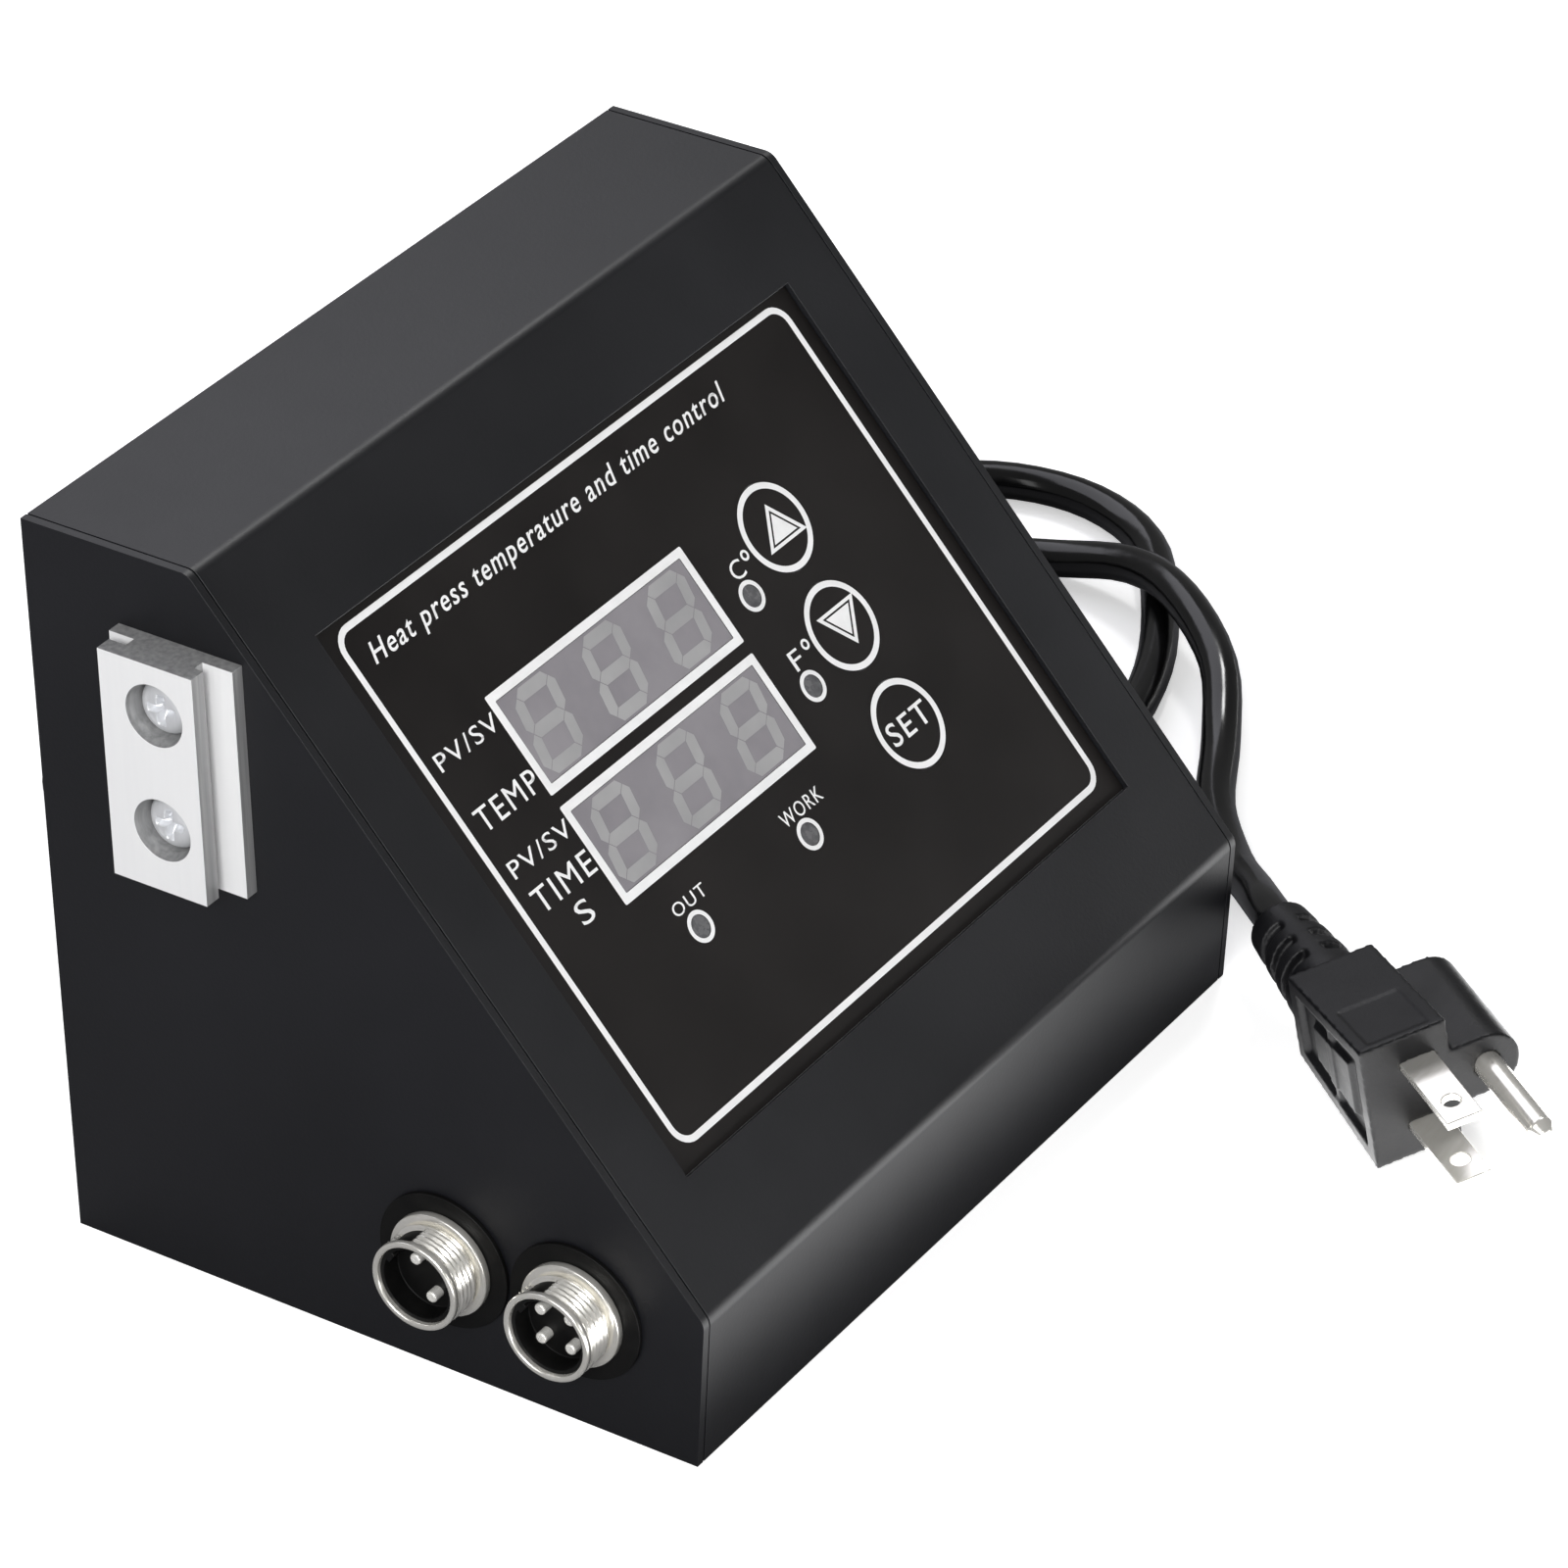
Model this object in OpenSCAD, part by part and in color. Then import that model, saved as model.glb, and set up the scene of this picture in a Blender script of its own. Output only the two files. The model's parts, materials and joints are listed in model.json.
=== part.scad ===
// Control box of a mug heat press: a folded sheet-steel desk enclosure with a sloping panel,
// its boards and sockets, a hanging rail on one side and a mains lead with its plug.
// +X is to the operator's right, the front faces -Y, +Z is up, and the origin is the centre
// of the underside. All sizes are in millimetres.

/* [Enclosure] */
// Width of the box across both side plates
case_w = 160; // [150:1:200]
// Depth of the box from the lip to the back panel
case_d = 123; // [118:1:150]
// Height of the box at the back
case_h = 133; // [126:1:165]
// Depth of the flat top
top_d = 32; // [24:1:40]
// Height of the front lip
lip_h = 28; // [24:1:36]
// How far the foot of the lip stands behind its top edge
lip_set_back = 2; // [0:0.5:4]
// Thickness of the folded sheet steel
sheet_t = 1.5; // [1:0.1:2]
// Outside radius of the folds in the cover
bend_r = 3; // [2:0.5:5]
// Gap where two sheets lie edge to edge
seam = 0.3; // [0.1:0.1:0.6]
// Width of the turned-in flanges
flange_w = 11; // [9:1:14]

/* [Panel] */
// Width of the window for the control panel
window_w = 131; // [124:1:136]
// Height of the window, measured up the slope
window_l = 101; // [98:1:104]
// How far the panel face lies below the slope
panel_sunk = 1; // [0.5:0.1:1.4]
// Thickness of the printed overlay
overlay_t = 0.5; // [0.3:0.1:0.8]
// Thickness of the metal plate behind the overlay
plate_t = 1.5; // [1:0.1:2]
// How far the plate reaches past the window on each side
plate_lap = 7; // [6.5:0.5:7.5]
// Width of one display window
display_w = 54; // [48:1:56]
// Height of one display window
display_l = 18.5; // [16:0.5:19]
// Printed border round a display window
display_border = 1.6; // [1:0.1:2]
// Depth of a display module
display_deep = 7; // [5:0.5:7.5]
// Radius of a key
key_r = 7.9; // [6:0.1:8.5]
// Travel of a key
key_travel = 0.4; // [0.2:0.1:0.5]
// Radius of a lamp's window
lamp_r = 1.9; // [1.5:0.1:2.4]
// Height of the spacers behind the plate
board_gap = 8.2; // [8:0.1:10]
// Thickness of the circuit boards
board_t = 1.6; // [1.2:0.1:2]

/* [Sockets and rail] */
// Radius of a socket's threaded shell
socket_r = 8; // [6:0.5:9]
// Length of the shell outside its flange
socket_out = 6.5; // [5:0.5:10]
// Wall of the shell round the insulator
socket_wall = 1.1; // [0.8:0.1:1.5]
// Distance between the two sockets
socket_gap = 25; // [22:0.5:27]
// Height of the sockets above the base
socket_z = 21.7; // [19:0.1:24]
// Radius of a contact pin
pin_r = 1; // [0.6:0.1:1.2]
// Length of the hanging rail
rail_l = 41; // [36:1:60]
// Height of the rail's centre above the base
rail_z = 99.5; // [90:0.5:105]
// Width of the rail's foot against the side plate
rail_foot_w = 23.5; // [22:0.5:28]
// Width of the rail's outer bar
rail_bar_w = 18; // [16:0.5:22]

/* [Back and mains lead] */
// Outside diameter of the mains lead
cord_d = 7.1; // [6.5:0.1:7.2]
// Length of the tapered sleeve behind the box
sleeve_l = 34; // [20:1:40]
// Height of the lead's outlet above the base
outlet_z = 20; // [18:1:26]
// Width of the power switch
switch_w = 19; // [15:0.5:22]
// Height of the power switch
switch_l = 27; // [22:0.5:30]
// Tilt of the rocker from its middle place
rocker_tilt = 11; // [6:1:14]
// Radius of the fuse holder's barrel
fuse_holder_r = 6.2; // [5.5:0.1:8]
// Clearance round pieces that turn or slide
running = 0.06; // [0.04:0.01:0.1]
// Clearance round pieces that drop into a hole
easy = 0.15; // [0.1:0.05:0.3]

/* [Hidden] */
$fn = 48;
FOLD_STEPS = 12;
CUT = 0.5;

front_y = -case_d / 2;
back_y = case_d / 2;
slope_l = norm([case_d - top_d, case_h - lip_h]);
slope_a = atan2(case_h - lip_h, case_d - top_d);
side_x = case_w / 2;
inner_x = side_x - sheet_t;
cover_w = 2 * (inner_x - seam);
rear_in = back_y - sheet_t;
hole_m3 = 1.6;
M3 = 1.5;
M3_HEAD_R = 2.8;
M3_HEAD_H = 1.9;
M3_NUT_R = 3.1;
M3_NUT_H = 2.4;
M5 = 2.5;
M5_HEAD_R = 4.7;
M5_HEAD_H = 3.2;

// Panel heights, measured outwards from the slope's face
overlay_z = -panel_sunk - overlay_t;
plate_z = -sheet_t - plate_t;
lens_z = -panel_sunk - 0.05;
board_z = plate_z - board_gap;
window_v = slope_l / 2;
plate_w = window_w + 2 * plate_lap;
plate_l = window_l + 2 * plate_lap;
stud_u = window_w / 2 + 3.7;
stud_l = 8;
lens_w = display_w - 2 * display_border;
lens_l = display_l - 2 * display_border;
stud_v = window_l / 2 - 6;

// Places on the panel: across from its middle, and up the slope from the lip's fold
display_u = -15.9;
temp_v = window_v + 17.8;
time_v = window_v - 2.9;
key_u = 31.7;
key_v = [window_v + 19.9, window_v + 0.6, window_v - 18.7];
LAMPS = [[18.4, window_v + 13.5], [18.4, window_v - 4.1], [-1, window_v - 22.2],
         [-32.2, window_v - 22.2]];
SPACERS = [[-52, window_v - 31], [-52, window_v + 31], [43, window_v - 31],
           [43, window_v + 31]];
board_w = 108;
board_l = 72;
board_u = -4.5;
BUZZER = [-16, window_v - 26.5];
buzzer_r = 4.6;
buzzer_h = 6.5;
ribbon_x = -21.5;
ribbon_w = 8;
ribbon_t = 1;
ribbon_v = window_v - 20;
switch_body = 6;
switch_h = 3.5;
stem_r = 1.7;
plunger_r = 3;
plunger_end = board_z + switch_h + 1;
key_pocket = key_travel + 0.2;
display_back_gap = 0.4;

// Power board on the base
power_w = 92;
power_l = 66;
power_y = 6;
power_gap = 5;
power_z = sheet_t + power_gap;
power_top = power_z + board_t;
core_w = 42;
core_d = 16;
core_h = 35;
core_y = 22;
RELAY = [-34, -9];
relay_size = [15, 19, 15.5];
CAPACITOR = [-10, -14];
capacitor_r = 6.5;
capacitor_h = 20;
TERMINAL = [22, -19];
terminal_n = 4;
terminal_pitch = 7.5;
terminal_d = 10;
terminal_h = 12;
terminal_r = 2;
terminal_seat = 8;

// Sockets and rail on the left side plate
heater_y = -12.7;
sensor_y = heater_y - socket_gap;
washer_t = 0.8;
washer_r = min(socket_r + 4.2, socket_gap / 2 - 0.2);
flange_t = 1.5;
flange_r = socket_r + 1.2;
insert_sunk = 4.6;
pin_sunk = 2.6;
socket_in = 12;
PAIR_A = 24;
SQUARE_A = 45;
square_off = socket_r - 4.1;
pair_off = square_off - 0.5;
socket_nut_h = 3;
KEYWAY_A = 55;
keyway_w = 2;
rim_l = 0.8;
lining_t = 0.7;
rear_thread_l = 6;
rear_cup_l = 8;
step_in = 1;
rear_r = socket_r - 1;
rail_y = 33;
rail_foot_y = rail_y - 1.2;
rail_bolt_y = rail_y - 1.2;
rail_neck_y = rail_y - 0.8;
rail_foot_t = 2.5;
rail_neck_w = 13;
rail_neck_t = 2;
rail_bar_t = 3;
rail_out = rail_foot_t + rail_neck_t + rail_bar_t;
rail_bolt_gap = 20.7;
rail_bolt_up = 1.2;
rail_bore_r = 5.4;
rail_sink = 1.7;
rail_seat = rail_sink + M5_HEAD_H;
rail_nut_h = 3;

// Back panel fittings
outlet_x = 0;
switch_x = 46;
switch_z = 48;
fuse_x = -40;
fuse_z = 22;
gland_hole_r = 6;
vent_n = 9;
vent_w = 2.6;
vent_l = 26;
vent_pitch = 6;
vent_z = case_h - 36;

// The lead's coil lies on the table behind the box
COIL = [62, 111, 0];
coil_r = 42;
coil_turn = 7.2;
coil_top = 13.4;
SIDES = 10;

// The size of box that the lead's route is laid round
ROUTE_W = 160;
ROUTE_D = 123;
// The lead from its outlet to the coil, as points that it passes through
LEAD = [[0, 52, outlet_z], [0, 75, outlet_z], [0, 97, outlet_z], [1, 112, 17.5],
        [6, 127, 11.5], [16, 140, 6.2], [31, 148.5, 3.8], [50, 152, 3.6]];
// The lead from the coil round its two open loops to the plug
TAIL = [[70, 149, 9.8], [88, 141.5, 10.6], [107.5, 128, 10.4], [132.5, 110.5, 6],
        [156, 93.5, 3.7], [172.5, 81, 3.6], [189, 69, 3.6], [197.5, 55, 3.6], [198.5, 38.5, 3.6],
        [191, 22.5, 3.6], [175, 10, 3.6], [153.5, -1.5, 3.6], [132.5, -6.5, 3.6], [112, -2, 3.6],
        [98.5, 10, 3.6], [93, 26, 3.6], [96, 42.5, 3.6], [107, 56.5, 3.6], [123, 63.5, 3.6],
        [141.5, 62.5, 3.6], [159, 57, 3.6], [170.5, 46.5, 3.6], [176, 32, 4.8], [175, 16, 9],
        [167, 1, 11.2], [153.5, -15, 9.2], [138.5, -24.5, 4.4], [120.5, -34, 3.6],
        [104.5, -47, 5], [93, -57.5, 9.6], [84, -65.5, 13.4], [76.6, -73.3, 15.3]];

// The plug lies on its side; its origin is the middle of its face between the blades
PLUG = [50, -114.5, 14.2];
plug_yaw = -125;
plug_pitch = 1.5;
plug_roll = 10;
plug_half_h = 12.5;
plug_rear_h = 8.5;
plug_l = 29;
plug_left = 9.8;
plug_right = 5.8;
relief_l = 22;
relief_r = 7.4;
relief_end_r = 5.4;
relief_y = (plug_right - plug_left) / 2;
ground_off = 11.9;
ground_r = 2.4;
ground_l = 21.5;
lobe_r = 5.8;
lobe_l = 24;
blade_w = 6.35;
blade_t = 1.5;
blade_l = 17.5;
blade_off = 6.35;
blade_in = 3;
ground_tip = 2;

BLACK = [0.13, 0.13, 0.14];
STEEL = [0.75, 0.76, 0.78];
PCB = [0.08, 0.32, 0.16];

// ---- shared shapes ----

function unit(v) = v / norm(v);
// The corner b of the outline a-b-c, rounded to radius r by an arc
function fold(a, b, c, r, n = FOLD_STEPS) =
    let (p = unit(a - b), q = unit(c - b), half = acos(p * q) / 2,
         mid = b + unit(p + q) * r / sin(half),
         s = b + p * r / tan(half) - mid, e = b + q * r / tan(half) - mid)
    [for (i = [0:n]) mid + unit(s * (n - i) + e * i) * r];
// The corner b moved inwards by d, on the side that the turn a-b-c closes round
function inset(a, b, c, d) =
    let (p = unit(a - b), q = unit(c - b), half = acos(p * q) / 2)
    b + unit(p + q) * d / sin(half);

LIP_FOOT = [front_y + lip_set_back, 0];
LIP_TOP = [front_y, lip_h];
TOP_FRONT = [back_y - top_d, case_h];
TOP_BACK = [back_y, case_h];

// The side view of the folded sheet, pushed in from the outside by d
function skin(d) =
    let (foot = LIP_FOOT + [d / unit(LIP_TOP - LIP_FOOT)[1], 0],
         lip = inset(LIP_FOOT, LIP_TOP, TOP_FRONT, d),
         top = inset(LIP_TOP, TOP_FRONT, TOP_BACK, d), end = [back_y, case_h - d])
    concat([foot], fold(foot, lip, top, bend_r - d), fold(lip, top, end, bend_r - d), [end]);

module across(w) {
    rotate([90, 0, 90]) translate([0, 0, -w / 2]) linear_extrude(w) children();
}

module on_panel(u = 0, v = 0, z = 0) {
    translate([0, front_y, lip_h]) rotate([slope_a, 0, 0]) translate([u, v, z]) children();
}

module slab(w, l, t) {
    translate([-w / 2, -l / 2, 0]) cube([w, l, t]);
}

module on_left(y, z) {
    translate([-side_x, y, z]) rotate([0, -90, 0]) children();
}

module on_back(x, z) {
    translate([x, back_y, z]) rotate([-90, 0, 0]) children();
}

// A pan head screw along -Z, its head standing on z = 0, with a cross recess
module pan_screw(r, head_r, head_h, long) {
    difference() {
        union() {
            translate([0, 0, -long]) cylinder(h = long, r = r);
            cylinder(h = head_h * 0.6, r = head_r);
            translate([0, 0, head_h * 0.6])
                cylinder(h = head_h * 0.4, r1 = head_r, r2 = head_r * 0.7);
        }
        for (a = [0, 90])
            rotate([0, 0, a]) translate([-head_r * 0.55, -head_r * 0.12, head_h * 0.45])
                cube([head_r * 1.1, head_r * 0.24, head_h]);
    }
}

module hex_nut(r, h, bore) {
    difference() {
        cylinder(h = h, r = r, $fn = 6);
        translate([0, 0, -CUT]) cylinder(h = h + 2 * CUT, r = bore);
    }
}

// ---- a tube of SIDES sides swept through points ----

function along(p, i) = unit(p[min(i + 1, len(p) - 1)] - p[max(i - 1, 0)]);
function spline(a, b, c, d, t) =
    0.5 * (2 * b + (c - a) * t + (2 * a - 5 * b + 4 * c - d) * t * t
           + (3 * b - a - 3 * c + d) * t * t * t);
function smooth(p) =
    let (n = len(p) - 1)
    [for (i = [0:n - 1]) for (t = [0, 0.5])
         spline(p[max(i - 1, 0)], p[i], p[i + 1], p[min(i + 2, n)], t),
     p[n]];
// A point of the route, moved out with the box's side and with its nearer end
function clear_of_box(p) =
    [p[0] + (case_w - ROUTE_W) / 2 * min(1, p[0] / PLUG[0]),
     p[1] + (case_d - ROUTE_D) / 2 * max(-1, min(1, (p[1] - 15) / 60)), p[2]];
function ring(at, dir, r) =
    let (side = unit(cross([0, 0, 1], dir)), up = cross(dir, side))
    [for (k = [0:SIDES - 1]) at + r * (cos(360 * k / SIDES) * side + sin(360 * k / SIDES) * up)];

module tube(points, r) {
    p = smooth([for (q = points) clear_of_box(q)]);
    n = len(p);
    polyhedron(points = [for (i = [0:n - 1]) each ring(p[i], along(p, i), r)],
               faces = concat([[for (k = [0:SIDES - 1]) k]],
                              [for (i = [0:n - 2]) for (k = [0:SIDES - 1])
                                   let (m = (k + 1) % SIDES)
                                   [i * SIDES + m, i * SIDES + k,
                                    (i + 1) * SIDES + k, (i + 1) * SIDES + m]],
                              [[for (k = [SIDES - 1:-1:0]) (n - 1) * SIDES + k]]));
}

// ---- enclosure ----

module socket_holes() {
    for (y = [heater_y, sensor_y])
        on_left(y, socket_z) translate([0, 0, -sheet_t - CUT])
            cylinder(h = sheet_t + 2 * CUT, r = rear_r + easy);
}

module rail_bolts() {
    for (s = [-0.5, 0.5])
        on_left(rail_bolt_y, rail_z + rail_bolt_up + s * rail_bolt_gap) children();
}

BASE_SCREWS = [[-side_x * 0.7, front_y + lip_set_back + sheet_t + flange_w / 2],
               [0, front_y + lip_set_back + sheet_t + flange_w / 2],
               [side_x * 0.7, front_y + lip_set_back + sheet_t + flange_w / 2]];
BACK_SCREWS = [for (x = [-1, 1]) for (z = [16, case_h / 2]) [x * (inner_x - 6.5), z],
               for (x = [-1, 1]) [x * (inner_x - 30), case_h - sheet_t - flange_w / 2]];

module chassis() {
    color(BLACK) difference() {
        union() {
            for (s = [0, 1]) mirror([s, 0, 0]) {
                translate([inner_x + sheet_t / 2, 0, 0]) across(sheet_t)
                    polygon(concat(skin(0), [[back_y, 0]]));
                translate([inner_x - flange_w, rear_in - seam - sheet_t, 0])
                    cube([flange_w + sheet_t, sheet_t, case_h - sheet_t - flange_w - 4]);
            }
            translate([-inner_x, front_y + lip_set_back + sheet_t + seam, 0])
                cube([2 * inner_x, case_d - lip_set_back - 2 * sheet_t - 2 * seam, sheet_t]);
        }
        socket_holes();
        rail_bolts() translate([0, 0, -sheet_t - CUT])
            cylinder(h = sheet_t + 2 * CUT, r = M5 + easy);
        for (p = BASE_SCREWS) translate([p[0], p[1], -0.01])
            cylinder(h = sheet_t + CUT, r1 = M3_HEAD_R + easy, r2 = hole_m3);
        for (x = [-1, 1]) for (y = [-1, 1])
            translate([x * (power_w / 2 - 4), power_y + y * (power_l / 2 - 4), -CUT])
                cylinder(h = sheet_t + 2 * CUT, r = hole_m3);
        for (p = BACK_SCREWS) on_back(p[0], p[1]) translate([0, 0, -4 * sheet_t])
            cylinder(h = 4 * sheet_t, r = hole_m3);
    }
}

module front_cover() {
    in_skin = skin(sheet_t);
    out_skin = skin(0);
    color(BLACK) difference() {
        union() {
            across(cover_w)
                polygon(concat(out_skin, [for (i = [len(in_skin) - 1:-1:0]) in_skin[i]]));
            translate([-cover_w / 2 + flange_w, out_skin[0][0] + sheet_t / 2, sheet_t])
                cube([cover_w - 2 * flange_w, flange_w + sheet_t / 2, sheet_t]);
            translate([-cover_w / 2 + 2 * flange_w, rear_in - seam - sheet_t,
                       case_h - sheet_t - flange_w])
                cube([cover_w - 4 * flange_w, sheet_t, flange_w + sheet_t / 2]);
            for (u = [-1, 1]) for (v = [-1, 1])
                on_panel(u * stud_u, window_v + v * stud_v, -stud_l)
                    cylinder(h = stud_l - sheet_t / 2, r = M3);
        }
        on_panel(0, window_v, -sheet_t - CUT) slab(window_w, window_l, sheet_t + 2 * CUT);
        for (p = BASE_SCREWS) translate([p[0], p[1], sheet_t - CUT])
            cylinder(h = 3 * sheet_t, r = M3 + 0.02);
        for (p = BACK_SCREWS) on_back(p[0], p[1]) translate([0, 0, -4 * sheet_t])
            cylinder(h = 4 * sheet_t, r = hole_m3);
    }
}

module back_panel() {
    color(BLACK) difference() {
        translate([-inner_x + seam, rear_in, seam])
            cube([cover_w, sheet_t, case_h - sheet_t - 2 * seam]);
        on_back(outlet_x, outlet_z) translate([0, 0, -3 * sheet_t])
            cylinder(h = 5 * sheet_t, r = gland_hole_r + easy);
        on_back(fuse_x, fuse_z) translate([0, 0, -3 * sheet_t])
            cylinder(h = 5 * sheet_t, r = fuse_holder_r + easy);
        translate([switch_x, back_y, switch_z]) slot_box(switch_w - 4, switch_l - 4);
        for (i = [0:vent_n - 1]) translate([(i - (vent_n - 1) / 2) * vent_pitch, back_y, vent_z])
            slot_box(vent_w, vent_l);
        for (p = BACK_SCREWS) on_back(p[0], p[1]) translate([0, 0, -3 * sheet_t])
            cylinder(h = 5 * sheet_t, r = hole_m3);
    }
}

module slot_box(w, l) {
    translate([-w / 2, -3 * sheet_t, -l / 2]) cube([w, 5 * sheet_t, l]);
}

module base_screws() {
    color(STEEL) for (p = BASE_SCREWS) translate([p[0], p[1], 0]) {
        cylinder(h = sheet_t - 0.1, r1 = M3_HEAD_R, r2 = M3 - 0.05);
        cylinder(h = 6, r = M3);
    }
}

module back_screws() {
    color(STEEL) for (p = BACK_SCREWS) on_back(p[0], p[1])
        pan_screw(M3, M3_HEAD_R, M3_HEAD_H, 7);
}

// ---- control panel ----

module panel_plate() {
    color(STEEL) on_panel(0, 0, plate_z) difference() {
        translate([0, window_v, 0]) slab(plate_w, plate_l, plate_t);
        for (v = [temp_v, time_v]) translate([display_u, v, -CUT])
            slab(lens_w + easy, lens_l + easy, plate_t + 2 * CUT);
        for (v = key_v) translate([key_u, v, 0]) {
            translate([0, 0, -CUT]) cylinder(h = plate_t + 2 * CUT, r = plunger_r + easy);
            translate([0, 0, plate_t - key_pocket]) cylinder(h = plate_t, r = key_r + easy);
        }
        for (p = LAMPS) translate([p[0], p[1], -CUT])
            cylinder(h = plate_t + 2 * CUT, r = lamp_r + easy);
        for (u = [-1, 1]) for (v = [-1, 1]) translate([u * stud_u, window_v + v * stud_v, -CUT])
            cylinder(h = plate_t + 2 * CUT, r = M3 + easy);
    }
}

module panel_nuts() {
    color(STEEL) for (u = [-1, 1]) for (v = [-1, 1])
        on_panel(u * stud_u, window_v + v * stud_v, plate_z - M3_NUT_H)
            hex_nut(M3_NUT_R, M3_NUT_H, M3);
}

module panel_overlay() {
    color([0.1, 0.1, 0.1]) on_panel(0, 0, overlay_z) difference() {
        translate([0, window_v, 0]) slab(window_w - 2 * easy, window_l - 2 * easy, overlay_t);
        for (v = [temp_v, time_v]) translate([display_u, v, -CUT])
            slab(lens_w + easy, lens_l + easy, overlay_t + 2 * CUT);
        for (v = key_v) translate([key_u, v, -CUT])
            cylinder(h = overlay_t + 2 * CUT, r = key_r + easy);
        for (p = LAMPS) translate([p[0], p[1], -CUT])
            cylinder(h = overlay_t + 2 * CUT, r = lamp_r + easy);
    }
}

module key(v) {
    color(BLACK) on_panel(key_u, v, overlay_z) {
        cylinder(h = overlay_t, r = key_r);
        translate([0, 0, plunger_end - overlay_z])
            cylinder(h = overlay_z - plunger_end + overlay_t / 2, r = plunger_r);
    }
}

module switch_stem(v) {
    color([0.5, 0.35, 0.2]) on_panel(key_u, v, board_z + switch_h - 0.8)
        cylinder(h = plunger_end - board_z - switch_h + 0.8, r = stem_r);
}

module up_key() { key(key_v[0]); }
module down_key() { key(key_v[1]); }
module set_key() { key(key_v[2]); }
module up_switch_stem() { switch_stem(key_v[0]); }
module down_switch_stem() { switch_stem(key_v[1]); }
module set_switch_stem() { switch_stem(key_v[2]); }

module key_switches() {
    color([0.2, 0.2, 0.2]) for (v = key_v) on_panel(key_u, v, board_z) difference() {
        slab(switch_body, switch_body, switch_h);
        translate([0, 0, switch_h - 1.5]) cylinder(h = 2, r = stem_r + running);
    }
}

module lens(v) {
    color([0.6, 0.6, 0.62, 0.5]) on_panel(display_u, v, plate_z)
        slab(lens_w, lens_l, lens_z - plate_z);
}

module temp_window() { lens(temp_v); }
module time_window() { lens(time_v); }

module display(v) {
    leg_l = board_gap - display_back_gap - display_deep;
    color([0.85, 0.85, 0.85]) on_panel(display_u, v, plate_z - display_back_gap - display_deep) {
        slab(display_w - 1, display_l, display_deep);
        for (x = [-1, 1]) for (y = [-1, 1])
            translate([x * display_w / 3, y * display_l / 3, -leg_l])
                cylinder(h = leg_l + CUT, r = 0.5);
    }
}

module temp_display() { display(temp_v); }
module time_display() { display(time_v); }

module indicator_lamps() {
    color([0.7, 0.7, 0.7]) for (p = LAMPS) on_panel(p[0], p[1], 0) {
        translate([0, 0, plate_z - 3]) cylinder(h = lens_z - plate_z + 3, r = lamp_r);
        translate([0, 0, plate_z - 3.5]) cylinder(h = 1, r = lamp_r + 0.5);
        for (s = [-1, 1]) translate([s * 0.9, 0, board_z]) cylinder(h = board_gap - 3, r = 0.3);
    }
}

module display_board() {
    color(PCB) on_panel(0, 0, board_z - board_t) difference() {
        translate([board_u, window_v, 0]) slab(board_w, board_l, board_t);
        for (p = SPACERS) translate([p[0], p[1], -CUT]) cylinder(h = board_t + 2 * CUT, r = hole_m3);
    }
}

module board_spacers() {
    color([0.8, 0.7, 0.35]) for (p = SPACERS) on_panel(p[0], p[1], board_z) difference() {
        cylinder(h = board_gap, r = M3_NUT_R, $fn = 6);
        translate([0, 0, -CUT]) cylinder(h = 5 + CUT, r = M3);
    }
}

module board_screws() {
    color(STEEL) for (p = SPACERS) on_panel(p[0], p[1], board_z - board_t) mirror([0, 0, 1])
        pan_screw(M3 - 0.02, M3_HEAD_R, M3_HEAD_H, board_t + 4);
}

module buzzer() {
    color([0.08, 0.08, 0.08]) on_panel(BUZZER[0], BUZZER[1], board_z) difference() {
        cylinder(h = buzzer_h, r = buzzer_r);
        translate([0, 0, buzzer_h - 1.5]) cylinder(h = 2, r = 1);
    }
}

// A folded ribbon from the display board's back to the power board
module ribbon_cable() {
    along_slope = [cos(slope_a), sin(slope_a)];
    into_box = [sin(slope_a), -cos(slope_a)];
    start = [front_y, lip_h] + ribbon_v * along_slope + (board_t - board_z) * into_box;
    drop = start + [8, -7];
    foot = [drop[0], power_top];
    thick = [ribbon_t, 0];
    color([0.6, 0.62, 0.65]) translate([ribbon_x, 0, 0]) across(ribbon_w)
        polygon([start, start + ribbon_t * along_slope, drop + thick, foot + thick, foot, drop]);
}

// ---- power board ----

module power_holes(r, z, h) {
    for (x = [-1, 1]) for (y = [-1, 1])
        translate([x * (power_w / 2 - 4), power_y + y * (power_l / 2 - 4), z]) cylinder(h = h, r = r);
}

module power_board() {
    color(PCB) difference() {
        translate([0, power_y, power_z]) slab(power_w, power_l, board_t);
        power_holes(hole_m3, power_z - CUT, board_t + 2 * CUT);
    }
}

module power_board_spacers() {
    color([0.8, 0.7, 0.35]) difference() {
        for (x = [-1, 1]) for (y = [-1, 1])
            translate([x * (power_w / 2 - 4), power_y + y * (power_l / 2 - 4), sheet_t])
                cylinder(h = power_gap, r = M3_NUT_R, $fn = 6);
        power_holes(M3, sheet_t - CUT, power_gap + 2 * CUT);
    }
}

module power_board_screws() {
    color(STEEL) for (x = [-1, 1]) for (y = [-1, 1])
        translate([x * (power_w / 2 - 4), power_y + y * (power_l / 2 - 4), power_top])
            pan_screw(M3 - 0.02, M3_HEAD_R, M3_HEAD_H, board_t + 4);
}

module transformer_core() {
    color([0.35, 0.36, 0.38]) translate([0, core_y, power_top]) difference() {
        slab(core_w, core_d, core_h);
        for (s = [-1, 1]) translate([s * core_w / 4, 0, core_h / 5])
            slab(core_w / 6, core_d + 2 * CUT, core_h * 0.6);
    }
}

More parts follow.
